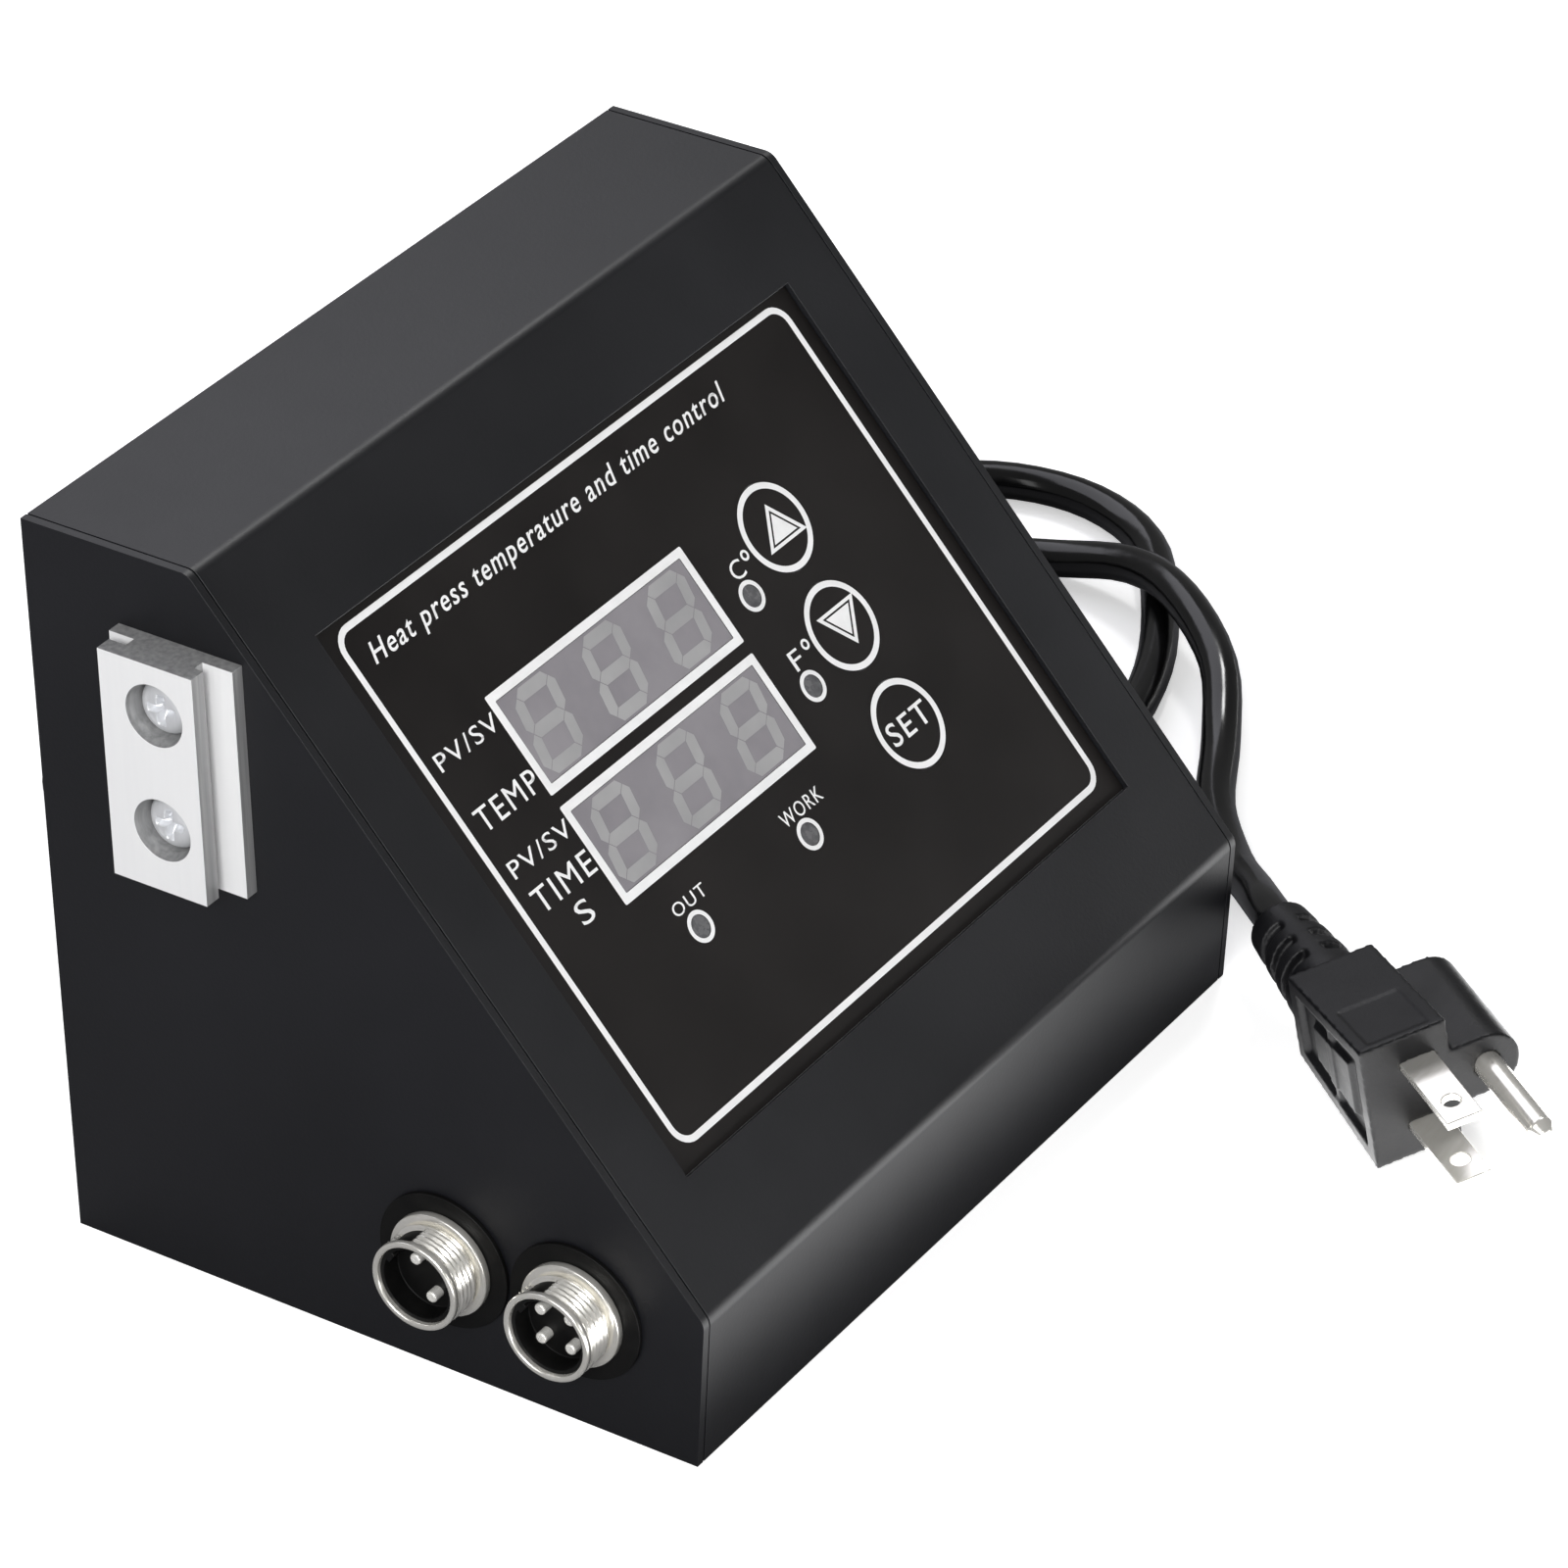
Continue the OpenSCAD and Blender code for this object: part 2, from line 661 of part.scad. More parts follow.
module transformer_winding() {
    color([0.8, 0.65, 0.2]) translate([0, core_y, power_top + core_h / 5 + 0.2]) difference() {
        slab(core_w / 2 + core_w / 6 - 0.4, core_d + 12, core_h * 0.6 - 0.4);
        translate([0, 0, -CUT]) slab(core_w / 2 - core_w / 6 + 0.2, core_d + 0.2, core_h);
    }
}

module heater_relay() {
    color([0.1, 0.25, 0.6]) translate([RELAY[0], RELAY[1], power_top])
        slab(relay_size[0], relay_size[1], relay_size[2]);
}

module filter_capacitor() {
    color([0.15, 0.15, 0.3]) translate([CAPACITOR[0], CAPACITOR[1], power_top])
        cylinder(h = capacitor_h, r = capacitor_r);
}

module terminal_places() {
    for (i = [0:terminal_n - 1])
        translate([TERMINAL[0] + (i - (terminal_n - 1) / 2) * terminal_pitch, TERMINAL[1], power_top])
            children();
}

module terminal_block() {
    color([0.1, 0.45, 0.25]) difference() {
        translate([TERMINAL[0], TERMINAL[1], power_top])
            slab(terminal_n * terminal_pitch, terminal_d, terminal_h);
        terminal_places() {
            translate([0, 0, terminal_seat]) cylinder(h = terminal_h, r = terminal_r + easy);
            translate([0, -terminal_d / 2 + 1, terminal_h / 3]) rotate([90, 0, 0])
                cylinder(h = terminal_d / 2, r = terminal_r);
        }
    }
}

module terminal_screws() {
    color(STEEL) terminal_places() translate([0, 0, terminal_seat]) difference() {
        cylinder(h = 2.5, r = terminal_r);
        translate([-terminal_r - CUT, -0.3, 1.7]) cube([2 * (terminal_r + CUT), 0.6, 2]);
    }
}

// ---- sockets on the left side ----

// Outside the plate is +Z: washer, flange, threaded shell; behind it the rear thread
module socket_shell(y) {
    color(STEEL) on_left(y, socket_z) difference() {
        union() {
            translate([0, 0, washer_t]) cylinder(h = flange_t, r = flange_r);
            translate([0, 0, washer_t]) cylinder(h = flange_t + socket_out, r = socket_r);
            translate([0, 0, -sheet_t - rear_thread_l])
                cylinder(h = sheet_t + rear_thread_l + washer_t + flange_t, r = rear_r);
        }
        translate([0, 0, -sheet_t - rear_thread_l - CUT])
            cylinder(h = socket_out + 20, r = socket_r - socket_wall - step_in);
        translate([0, 0, washer_t + flange_t])
            cylinder(h = socket_out + CUT, r = socket_r - socket_wall);
    }
}

// A cup that lines the shell, with the contacts standing on its floor and a key in its wall
module socket_insert(y, count) {
    cup_r = socket_r - socket_wall;
    foot = washer_t + flange_t;
    color([0.06, 0.06, 0.06]) on_left(y, socket_z) difference() {
        union() {
            translate([0, 0, -sheet_t - rear_cup_l])
                cylinder(h = sheet_t + rear_cup_l + foot, r = cup_r - step_in);
            translate([0, 0, foot]) cylinder(h = socket_out - rim_l, r = cup_r);
        }
        translate([0, 0, foot + socket_out - insert_sunk]) difference() {
            cylinder(h = insert_sunk, r = cup_r - lining_t);
            rotate([0, 0, KEYWAY_A]) translate([cup_r - 2 * lining_t, -keyway_w / 2, -CUT])
                cube([2 * lining_t, keyway_w, insert_sunk + 2 * CUT]);
        }
        pin_places(count) translate([0, 0, -socket_in])
            cylinder(h = socket_in + socket_out, r = pin_r);
    }
}

// Two contacts stand one above the other, a little turned; four stand in a square
module pin_places(count) {
    for (i = [0:count - 1])
        rotate([0, 0, (count == 2 ? PAIR_A : SQUARE_A) + 360 * i / count])
            translate([count == 2 ? pair_off : square_off, 0, 0]) children();
}

module socket_pins(y, count) {
    color([0.85, 0.8, 0.6]) on_left(y, socket_z) pin_places(count) translate([0, 0, -socket_in])
        cylinder(h = socket_in + washer_t + flange_t + socket_out - pin_sunk, r = pin_r);
}

module heater_socket_shell() { socket_shell(heater_y); }
module heater_socket_insert() { socket_insert(heater_y, 2); }
module heater_socket_pins() { socket_pins(heater_y, 2); }
module sensor_socket_shell() { socket_shell(sensor_y); }
module sensor_socket_insert() { socket_insert(sensor_y, 4); }
module sensor_socket_pins() { socket_pins(sensor_y, 4); }

module socket_washers() {
    color([0.05, 0.05, 0.05]) for (y = [heater_y, sensor_y]) on_left(y, socket_z) difference() {
        cylinder(h = washer_t, r = washer_r);
        translate([0, 0, -CUT]) cylinder(h = washer_t + 2 * CUT, r = rear_r + easy);
    }
}

module socket_nuts() {
    color(STEEL) for (y = [heater_y, sensor_y]) on_left(y, socket_z)
        translate([0, 0, -sheet_t - socket_nut_h]) hex_nut(rear_r + 3.2, socket_nut_h, rear_r);
}

// ---- hanging rail on the left side ----

module hanging_rail() {
    color([0.8, 0.81, 0.83]) difference() {
        translate([-side_x, 0, rail_z - rail_l / 2]) {
            translate([-rail_foot_t, rail_foot_y - rail_foot_w / 2, 0])
                cube([rail_foot_t, rail_foot_w, rail_l]);
            translate([-rail_foot_t - rail_neck_t, rail_neck_y - rail_neck_w / 2, 0])
                cube([rail_neck_t, rail_neck_w, rail_l]);
            translate([-rail_out, rail_y - rail_bar_w / 2, 0])
                cube([rail_bar_t, rail_bar_w, rail_l]);
        }
        rail_bolts() {
            translate([0, 0, -CUT]) cylinder(h = rail_out + 2 * CUT, r = M5 + easy);
            translate([0, 0, rail_out - rail_seat])
                cylinder(h = rail_seat + CUT, r = M5_HEAD_R + 2 * easy);
            translate([0, 0, rail_out - rail_sink])
                cylinder(h = 2 * rail_sink, r1 = M5_HEAD_R + 2 * easy,
                         r2 = 2 * rail_bore_r - M5_HEAD_R - 2 * easy);
        }
    }
}

module rail_screws() {
    color(STEEL) rail_bolts() translate([0, 0, rail_out - rail_seat])
        pan_screw(M5, M5_HEAD_R, M5_HEAD_H, rail_out - rail_seat + sheet_t + rail_nut_h + 1);
}

module rail_nuts() {
    color(STEEL) rail_bolts() translate([0, 0, -sheet_t - rail_nut_h])
        hex_nut(M5_HEAD_R, rail_nut_h, M5);
}

// ---- back panel fittings ----

module power_switch_frame() {
    color([0.05, 0.05, 0.05]) translate([switch_x, back_y, switch_z]) rotate([-90, 0, 0]) difference() {
        union() {
            slab(switch_w, switch_l, 2);
            translate([0, 0, -22]) slab(switch_w - 4 - 2 * easy, switch_l - 4 - 2 * easy, 22.5);
            for (s = [-1, 0, 1]) translate([0, s * 7, -28]) slab(6, 0.8, 7);
        }
        translate([0, 0, -12]) slab(switch_w - 6, switch_l - 6, 20);
        rotate([0, 90, 0]) cylinder(h = switch_w - 4.8, r = 1.5, center = true);
    }
}

module power_rocker() {
    long = switch_l - 7.6;
    color([0.7, 0.1, 0.08]) translate([switch_x, back_y, switch_z]) rotate([-90, 0, 0])
        rotate([-rocker_tilt, 0, 0]) {
            rotate([0, 90, 0]) cylinder(h = switch_w - 5, r = 1.5 - running, center = true);
            difference() {
                translate([0, 0, -4]) slab(switch_w - 6.6, long - 1.6, 8);
                translate([0, 0, 14]) rotate([0, 90, 0]) cylinder(h = switch_w, r = 12, center = true);
            }
        }
}

module fuse_holder() {
    color([0.06, 0.06, 0.06]) on_back(fuse_x, fuse_z) difference() {
        union() {
            cylinder(h = 2, r = fuse_holder_r + 2);
            translate([0, 0, -34]) cylinder(h = 34, r = fuse_holder_r);
            translate([0, 0, -sheet_t - 4.5]) cylinder(h = 4.5, r = fuse_holder_r + 2.8, $fn = 6);
        }
        translate([0, 0, -33]) cylinder(h = 40, r = fuse_holder_r - 1.6);
    }
}

module fuse_cap() {
    color([0.06, 0.06, 0.06]) on_back(fuse_x, fuse_z) difference() {
        union() {
            translate([0, 0, 2.1]) cylinder(h = 6, r = fuse_holder_r + 0.8);
            translate([0, 0, -6]) cylinder(h = 8.2, r = fuse_holder_r - 1.6 - running);
        }
        translate([-4, -0.6, 7]) cube([8, 1.2, 2]);
        translate([0, 0, -6 - CUT]) cylinder(h = 6 + CUT, r = 2.6 + running);
    }
}

module fuse() {
    color([0.8, 0.85, 0.85]) on_back(fuse_x, fuse_z) translate([0, 0, -24]) {
        cylinder(h = 22, r = 2.3);
        for (z = [0, 17]) translate([0, 0, z]) cylinder(h = 5, r = 2.6);
    }
}

// The tapered sleeve, its flange and snap-in body, bored for the lead
module cord_gland() {
    color([0.05, 0.05, 0.05]) on_back(outlet_x, outlet_z) difference() {
        union() {
            cylinder(h = 3, r = gland_hole_r + 2);
            translate([0, 0, -6]) cylinder(h = 6, r = gland_hole_r);
            translate([0, 0, -7.5]) cylinder(h = 7.5 - sheet_t, r = gland_hole_r + 1.2);
            translate([0, 0, 3])
                cylinder(h = sleeve_l - 3, r1 = gland_hole_r + 0.3, r2 = cord_d / 2 + 1.2);
        }
        translate([0, 0, -10]) cylinder(h = sleeve_l + 20, r = cord_d / 2 + 0.05);
        for (i = [0:5]) for (s = [0, 180])
            translate([0, 0, 8 + i * 4]) rotate([0, 0, 90 * (i % 2) + s])
                translate([-10, cord_d / 2 + 1.6 - i * 0.15, 0]) cube([20, 5, 1.6]);
    }
}

// ---- mains lead ----

module cord_lead() {
    color([0.05, 0.05, 0.05]) tube(LEAD, cord_d / 2);
}

module cord_coil() {
    color([0.05, 0.05, 0.05]) translate(clear_of_box(COIL)) rotate_extrude($fn = 72)
        polygon([[coil_r - 1.5 * coil_turn, 0], [coil_r + coil_turn / 2, 0],
                 [coil_r + coil_turn / 2, coil_turn], [coil_r, coil_top],
                 [coil_r - coil_turn, coil_top], [coil_r - 1.5 * coil_turn, coil_turn]]);
}

module coil_tie() {
    low = coil_r - 1.5 * coil_turn;
    color([0.1, 0.1, 0.1]) translate(clear_of_box(COIL)) rotate([0, 0, 200]) difference() {
        translate([low - 1, -2.5, 0]) cube([2 * coil_turn + 2, 5, coil_top + 1]);
        translate([low - easy, -4, -CUT])
            cube([2 * (coil_turn + easy), 8, coil_top + easy + CUT]);
    }
}

module cord_tail() {
    color([0.05, 0.05, 0.05]) tube(TAIL, cord_d / 2);
}

// ---- plug: blades along +X one above the other, ground pin towards +Y ----

module at_plug() {
    translate(clear_of_box(PLUG)) rotate([0, 0, plug_yaw]) rotate([0, plug_pitch, 0])
        rotate([plug_roll, 0, 0]) children();
}

module plug_body() {
    color([0.06, 0.06, 0.06]) at_plug() difference() {
        union() {
            translate([0, plug_right, 0]) rotate([90, 0, 0]) linear_extrude(plug_right + plug_left)
                polygon([[0, plug_half_h], [0, -plug_half_h], [-plug_l, -plug_rear_h],
                         [-plug_l, plug_rear_h]]);
            translate([-lobe_l, ground_off, 0]) rotate([0, 90, 0]) cylinder(h = lobe_l, r = lobe_r);
            translate([-lobe_l, plug_right - 1, -lobe_r])
                cube([lobe_l, ground_off - plug_right + 1, 2 * lobe_r]);
            translate([-plug_l, relief_y, 0]) rotate([0, -90, 0])
                cylinder(h = relief_l, r1 = relief_r, r2 = relief_end_r);
        }
        for (i = [1:3]) translate([-plug_l - i * 5, relief_y, 0]) rotate([0, -90, 0])
            difference() {
                cylinder(h = 2.2, r = relief_r + 1);
                translate([0, 0, -CUT]) cylinder(h = 4, r = relief_end_r - 0.6);
                translate([-relief_r - 2, -1.5, -CUT]) cube([2 * relief_r + 4, 3, 4]);
            }
        for (s = [-1, 1]) translate([-blade_in, -blade_w / 2, s * blade_off - blade_t / 2])
            cube([blade_in + CUT, blade_w, blade_t]);
        translate([-blade_in, ground_off, 0]) rotate([0, 90, 0])
            cylinder(h = blade_in + CUT, r = ground_r);
    }
}

module plug_blades() {
    color([0.8, 0.75, 0.5]) at_plug() for (s = [-1, 1]) difference() {
        translate([-blade_in, -blade_w / 2, s * blade_off - blade_t / 2])
            cube([blade_l + blade_in, blade_w, blade_t]);
        translate([blade_l - 5, 0, s * blade_off - blade_t]) cylinder(h = 2 * blade_t, r = 1.6);
    }
}

module plug_ground_pin() {
    color([0.8, 0.75, 0.5]) at_plug() translate([-blade_in, ground_off, 0]) rotate([0, 90, 0]) {
        cylinder(h = blade_in + ground_l - ground_tip, r = ground_r);
        translate([0, 0, blade_in + ground_l - ground_tip])
            cylinder(h = ground_tip, r1 = ground_r, r2 = ground_r / 2);
    }
}

chassis();
front_cover();
back_panel();
base_screws();
back_screws();
panel_plate();
panel_nuts();
panel_overlay();
up_key();
down_key();
set_key();
up_switch_stem();
down_switch_stem();
set_switch_stem();
key_switches();
temp_window();
time_window();
temp_display();
time_display();
indicator_lamps();
display_board();
board_spacers();
board_screws();
buzzer();
ribbon_cable();
power_board();
power_board_spacers();
power_board_screws();
transformer_core();
transformer_winding();
heater_relay();
filter_capacitor();
terminal_block();
terminal_screws();
heater_socket_shell();
heater_socket_insert();
heater_socket_pins();
sensor_socket_shell();
sensor_socket_insert();
sensor_socket_pins();
socket_washers();
socket_nuts();
hanging_rail();
rail_screws();
rail_nuts();
power_switch_frame();
power_rocker();
fuse_holder();
fuse_cap();
fuse();
cord_gland();
cord_lead();
cord_coil();
coil_tie();
cord_tail();
plug_body();
plug_blades();
plug_ground_pin();
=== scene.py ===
"""Looks of a heat press control box: a folded steel desk case with a sloping key and display
panel, two threaded sockets and a bright hanging rail on its left side, and a mains lead."""
import json
import math

import bmesh
import bpy
import numpy as np
from mathutils import Euler, Matrix, Quaternion, Vector

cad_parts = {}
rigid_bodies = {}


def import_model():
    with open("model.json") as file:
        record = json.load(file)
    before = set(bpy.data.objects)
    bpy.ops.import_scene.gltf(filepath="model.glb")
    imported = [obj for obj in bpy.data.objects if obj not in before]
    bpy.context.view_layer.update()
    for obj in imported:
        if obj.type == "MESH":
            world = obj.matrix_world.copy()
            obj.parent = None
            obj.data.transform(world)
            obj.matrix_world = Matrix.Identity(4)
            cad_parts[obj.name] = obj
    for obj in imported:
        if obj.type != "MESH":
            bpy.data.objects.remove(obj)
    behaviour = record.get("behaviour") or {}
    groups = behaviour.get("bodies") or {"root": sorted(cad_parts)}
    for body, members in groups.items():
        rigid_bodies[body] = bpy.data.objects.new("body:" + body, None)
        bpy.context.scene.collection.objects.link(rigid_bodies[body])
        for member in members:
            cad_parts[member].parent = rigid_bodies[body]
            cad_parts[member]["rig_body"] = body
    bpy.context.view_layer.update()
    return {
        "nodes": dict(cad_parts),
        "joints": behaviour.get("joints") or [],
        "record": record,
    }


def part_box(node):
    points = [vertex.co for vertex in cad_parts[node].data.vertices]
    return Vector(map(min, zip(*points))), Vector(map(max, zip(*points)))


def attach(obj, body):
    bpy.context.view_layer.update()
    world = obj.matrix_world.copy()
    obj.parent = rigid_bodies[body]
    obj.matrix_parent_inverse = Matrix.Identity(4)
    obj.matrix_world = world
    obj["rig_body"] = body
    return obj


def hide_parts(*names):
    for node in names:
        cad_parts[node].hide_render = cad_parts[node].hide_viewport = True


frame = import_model()
MM = 0.001
TURN = 2 * math.pi
ROUNDED = "rounded_edge"
WELD, FINE_WELD = 2e-6, 1e-9

# ---- camera, floor and light ----

CAMERA_PLACE = (-0.81913, -0.57741, 0.7025)
CAMERA_ANGLES = (-55.97, 32.61, -1.20)
LENS_MM = 168.9
FLOOR_REACH = 6.0
FRONT_EDGE = (-0.068, -0.100)
UNSEEN_GREY, UNSEEN_WHITE, SEEN_WHITE = (0.26, 0.26, 0.27), (0.90, 0.90, 0.90), (0.93, 0.93, 0.93)
SEEN_GLOW, MIRRORED_GLOW = 0.5, 3.0


def place_camera():
    """The camera stands to the left of the front and above, a little rolled, with a long lens."""
    azimuth, elevation, roll = (math.radians(angle) for angle in CAMERA_ANGLES)
    back = Vector((math.sin(azimuth) * math.cos(elevation),
                   -math.cos(azimuth) * math.cos(elevation), math.sin(elevation)))
    data = bpy.data.cameras.new("camera")
    data.sensor_width = 36
    data.lens = LENS_MM
    data.clip_end = 20
    camera = bpy.data.objects.new("camera", data)
    camera.location = CAMERA_PLACE
    camera.rotation_mode = "QUATERNION"
    camera.rotation_quaternion = (-back).to_track_quat("-Z", "Y") @ Quaternion((0, 0, 1), roll)
    bpy.context.collection.objects.link(camera)
    bpy.context.scene.camera = camera


def add_softbox(name, place, target, size, watts, colour=(1, 1, 1)):
    """A rectangular area light at a place, turned towards a target."""
    data = bpy.data.lights.new(name, "AREA")
    data.shape = "RECTANGLE"
    data.size, data.size_y = size
    data.energy = watts
    data.color = colour
    light = bpy.data.objects.new(name, data)
    light.location = place
    light.rotation_mode = "QUATERNION"
    light.rotation_quaternion = (Vector(target) - Vector(place)).to_track_quat("-Z", "Y")
    bpy.context.collection.objects.link(light)


def set_studio():
    """A soft white sky, a wide box above and behind, a key box to the left of the camera, a small
    fill in front, and a narrow box that gives the lead its highlight."""
    scene = bpy.context.scene
    scene.view_settings.view_transform = "Standard"
    world = bpy.data.worlds.new("studio")
    scene.world = world
    world.use_nodes = True
    sky = world.node_tree.nodes["Background"]
    sky.inputs["Color"].default_value = (1, 1, 1, 1)
    sky.inputs["Strength"].default_value = 0.2
    add_softbox("overhead_softbox", (0.35, 0.9, 1.15), (0, 0.05, 0.1), (1.5, 1.0), 7.5,
                (0.92, 0.92, 1.0))
    add_softbox("left_softbox", (-1.3, 0.15, 0.9), (-0.05, 0, 0.08), (0.5, 0.9), 3)
    add_softbox("front_softbox", (0.15, -1.4, 0.5), (0, 0, 0.05), (0.9, 0.35), 2)
    add_softbox("key_softbox", (-1.55, -0.6, 1.0), (0, 0, 0.06), (0.8, 0.8), 27)
    add_softbox("cord_softbox", (0.7, 0.15, 1.1), (0.16, 0.03, 0), (0.22, 0.22), 3.5)


def floor_paper():
    """White paper. The camera sees it pale everywhere. Other rays see it grey under the box and
    white in front, where mirror-like rays also see it glow, so that dark paint stays dark and only
    the front lip mirrors a bright floor."""
    material, tree, shader = start_material("floor_paper")
    shader.inputs["Roughness"].default_value = 0.9
    shader.inputs["Specular IOR Level"].default_value = 0.0
    path = add_node(tree, "ShaderNodeLightPath")
    place = add_node(tree, "ShaderNodeTexCoord")
    split = add_node(tree, "ShaderNodeSeparateXYZ")
    ahead = add_node(tree, "ShaderNodeMapRange", interpolation_type="SMOOTHSTEP")
    ahead.inputs["From Min"].default_value, ahead.inputs["From Max"].default_value = FRONT_EDGE
    tree.links.new(place.outputs["Object"], split.inputs[0])
    tree.links.new(split.outputs["Y"], ahead.inputs["Value"])
    unseen = mix_colours(tree, ahead.outputs["Result"], UNSEEN_GREY, UNSEEN_WHITE)
    paper = mix_colours(tree, path.outputs["Is Camera Ray"], unseen, SEEN_WHITE)
    tree.links.new(paper, shader.inputs["Base Color"])
    mirrored = multiplied(tree, path.outputs["Is Glossy Ray"],
                          multiplied(tree, ahead.outputs["Result"], MIRRORED_GLOW))
    glow = add_node(tree, "ShaderNodeMath", operation="MAXIMUM")
    tree.links.new(multiplied(tree, path.outputs["Is Camera Ray"], SEEN_GLOW), glow.inputs[0])
    tree.links.new(mirrored, glow.inputs[1])
    shader.inputs["Emission Color"].default_value = (1, 1, 1, 1)
    tree.links.new(glow.outputs[0], shader.inputs["Emission Strength"])
    return material


def lay_floor():
    """A wide square of paper under the object."""
    corners = [(-FLOOR_REACH, -FLOOR_REACH, 0), (FLOOR_REACH, -FLOOR_REACH, 0),
               (FLOOR_REACH, FLOOR_REACH, 0), (-FLOOR_REACH, FLOOR_REACH, 0)]
    mesh = bpy.data.meshes.new("floor")
    mesh.from_pydata(corners, [], [(0, 1, 2, 3)])
    mesh.materials.append(floor_paper())
    floor = bpy.data.objects.new("floor", mesh)
    bpy.context.collection.objects.link(floor)


# ---- materials ----


def start_material(name):
    """A new material with its node tree and its Principled shader."""
    material = bpy.data.materials.new(name)
    material.use_nodes = True
    return material, material.node_tree, material.node_tree.nodes["Principled BSDF"]


def add_node(tree, kind, **settings):
    """A node of a kind with its properties set."""
    node = tree.nodes.new(kind)
    for key, value in settings.items():
        setattr(node, key, value)
    return node


def multiplied(tree, value, factor):
    """The product of a value socket and a factor, which is a number or another socket."""
    product = add_node(tree, "ShaderNodeMath", operation="MULTIPLY")
    tree.links.new(value, product.inputs[0])
    if isinstance(factor, float):
        product.inputs[1].default_value = factor
    else:
        tree.links.new(factor, product.inputs[1])
    return product.outputs[0]


def start_group(name, inputs, outputs):
    """An empty node group with float inputs {name: default} and outputs {name: socket type}."""
    group = bpy.data.node_groups.new(name, "ShaderNodeTree")
    for key, value in inputs.items():
        socket = group.interface.new_socket(key, in_out="INPUT", socket_type="NodeSocketFloat")
        socket.default_value = value
    for key, kind in outputs.items():
        group.interface.new_socket(key, in_out="OUTPUT", socket_type=kind)
    return group, add_node(group, "NodeGroupInput"), add_node(group, "NodeGroupOutput")


def noise_in(tree, scale_socket, scale=None, detail=2.0, roughness=0.5, stretch=(1, 1, 1)):
    """Noise on Object coordinates, per metre, stretched along an axis by a factor under one."""
    place = add_node(tree, "ShaderNodeTexCoord")
    mapping = add_node(tree, "ShaderNodeMapping")
    mapping.inputs["Scale"].default_value = stretch
    noise = add_node(tree, "ShaderNodeTexNoise")
    noise.inputs["Detail"].default_value = detail
    noise.inputs["Roughness"].default_value = roughness
    tree.links.new(place.outputs["Object"], mapping.inputs["Vector"])
    tree.links.new(mapping.outputs["Vector"], noise.inputs["Vector"])
    if scale_socket is None:
        noise.inputs["Scale"].default_value = scale
    else:
        tree.links.new(scale_socket, noise.inputs["Scale"])
    return noise.outputs["Fac"]


def build_grain_group():
    """Fine surface grain: two octaves of noise, the second three times finer and half as deep."""
    group, given, out = start_group("surface_grain", {"Scale": 1500.0},
                                    {"Height": "NodeSocketFloat"})
    coarse = noise_in(group, given.outputs["Scale"])
    fine = noise_in(group, multiplied(group, given.outputs["Scale"], 3.1))
    both = add_node(group, "ShaderNodeMath", operation="MULTIPLY_ADD")
    both.inputs[1].default_value = 0.5
    group.links.new(fine, both.inputs[0])
    group.links.new(coarse, both.inputs[2])
    group.links.new(both.outputs[0], out.inputs["Height"])
    return group


def build_handling_group():
    """Soft clouds of wiped and handled surface, as a mask from 0 to 1 with a chosen contrast."""
    group, given, out = start_group("handling_marks", {"Scale": 30.0}, {"Mask": "NodeSocketFloat"})
    cloud = noise_in(group, given.outputs["Scale"], detail=4.0, roughness=0.6)
    spread = add_node(group, "ShaderNodeMapRange")
    spread.inputs["From Min"].default_value = 0.35
    spread.inputs["From Max"].default_value = 0.65
    group.links.new(cloud, spread.inputs["Value"])
    group.links.new(spread.outputs["Result"], out.inputs["Mask"])
    return group


def build_wear_and_shine_group():
    """Wear and a painted highlight along outer edges, as a mask: the faces that softened() marks as
    rounded, broken by noise."""
    group, given, out = start_group("edge_wear_and_shine", {"Scale": 260.0}, {"Mask": "NodeSocketFloat"})
    edge = add_node(group, "ShaderNodeAttribute", attribute_name=ROUNDED)
    patch = noise_in(group, given.outputs["Scale"], detail=3.0)
    group.links.new(multiplied(group, edge.outputs["Fac"], patch), out.inputs["Mask"])
    return group


GRAIN = build_grain_group()
HANDLING = build_handling_group()
WEAR_AND_EDGE_SHINE = build_wear_and_shine_group()


def use_group(tree, group, **inputs):
    """A group placed in a material with its own values."""
    node = add_node(tree, "ShaderNodeGroup", node_tree=group)
    for key, value in inputs.items():
        node.inputs[key].default_value = value
    return node


def add_bump(tree, shader, height, depth, strength=1.0):
    """Bump from a height socket, with the depth in metres."""
    bump = add_node(tree, "ShaderNodeBump")
    bump.inputs["Strength"].default_value = strength
    bump.inputs["Distance"].default_value = depth
    tree.links.new(height, bump.inputs["Height"])
    tree.links.new(bump.outputs["Normal"], shader.inputs["Normal"])


def vary_roughness(tree, shader, mask, low, high):
    """Roughness from low to high over a mask."""
    spread = add_node(tree, "ShaderNodeMapRange")
    spread.inputs["To Min"].default_value = low
    spread.inputs["To Max"].default_value = high
    tree.links.new(mask, spread.inputs["Value"])
    tree.links.new(spread.outputs["Result"], shader.inputs["Roughness"])


def mix_colours(tree, mask, first, second):
    """A colour that goes from first to second over a mask. Each is a colour or a socket."""
    mix = add_node(tree, "ShaderNodeMix", data_type="RGBA")
    tree.links.new(mask, mix.inputs["Factor"])
    for key, colour in (("A", first), ("B", second)):
        if isinstance(colour, tuple):
            mix.inputs[key].default_value = (*colour, 1)
        else:
            tree.links.new(colour, mix.inputs[key])
    return mix.outputs["Result"]


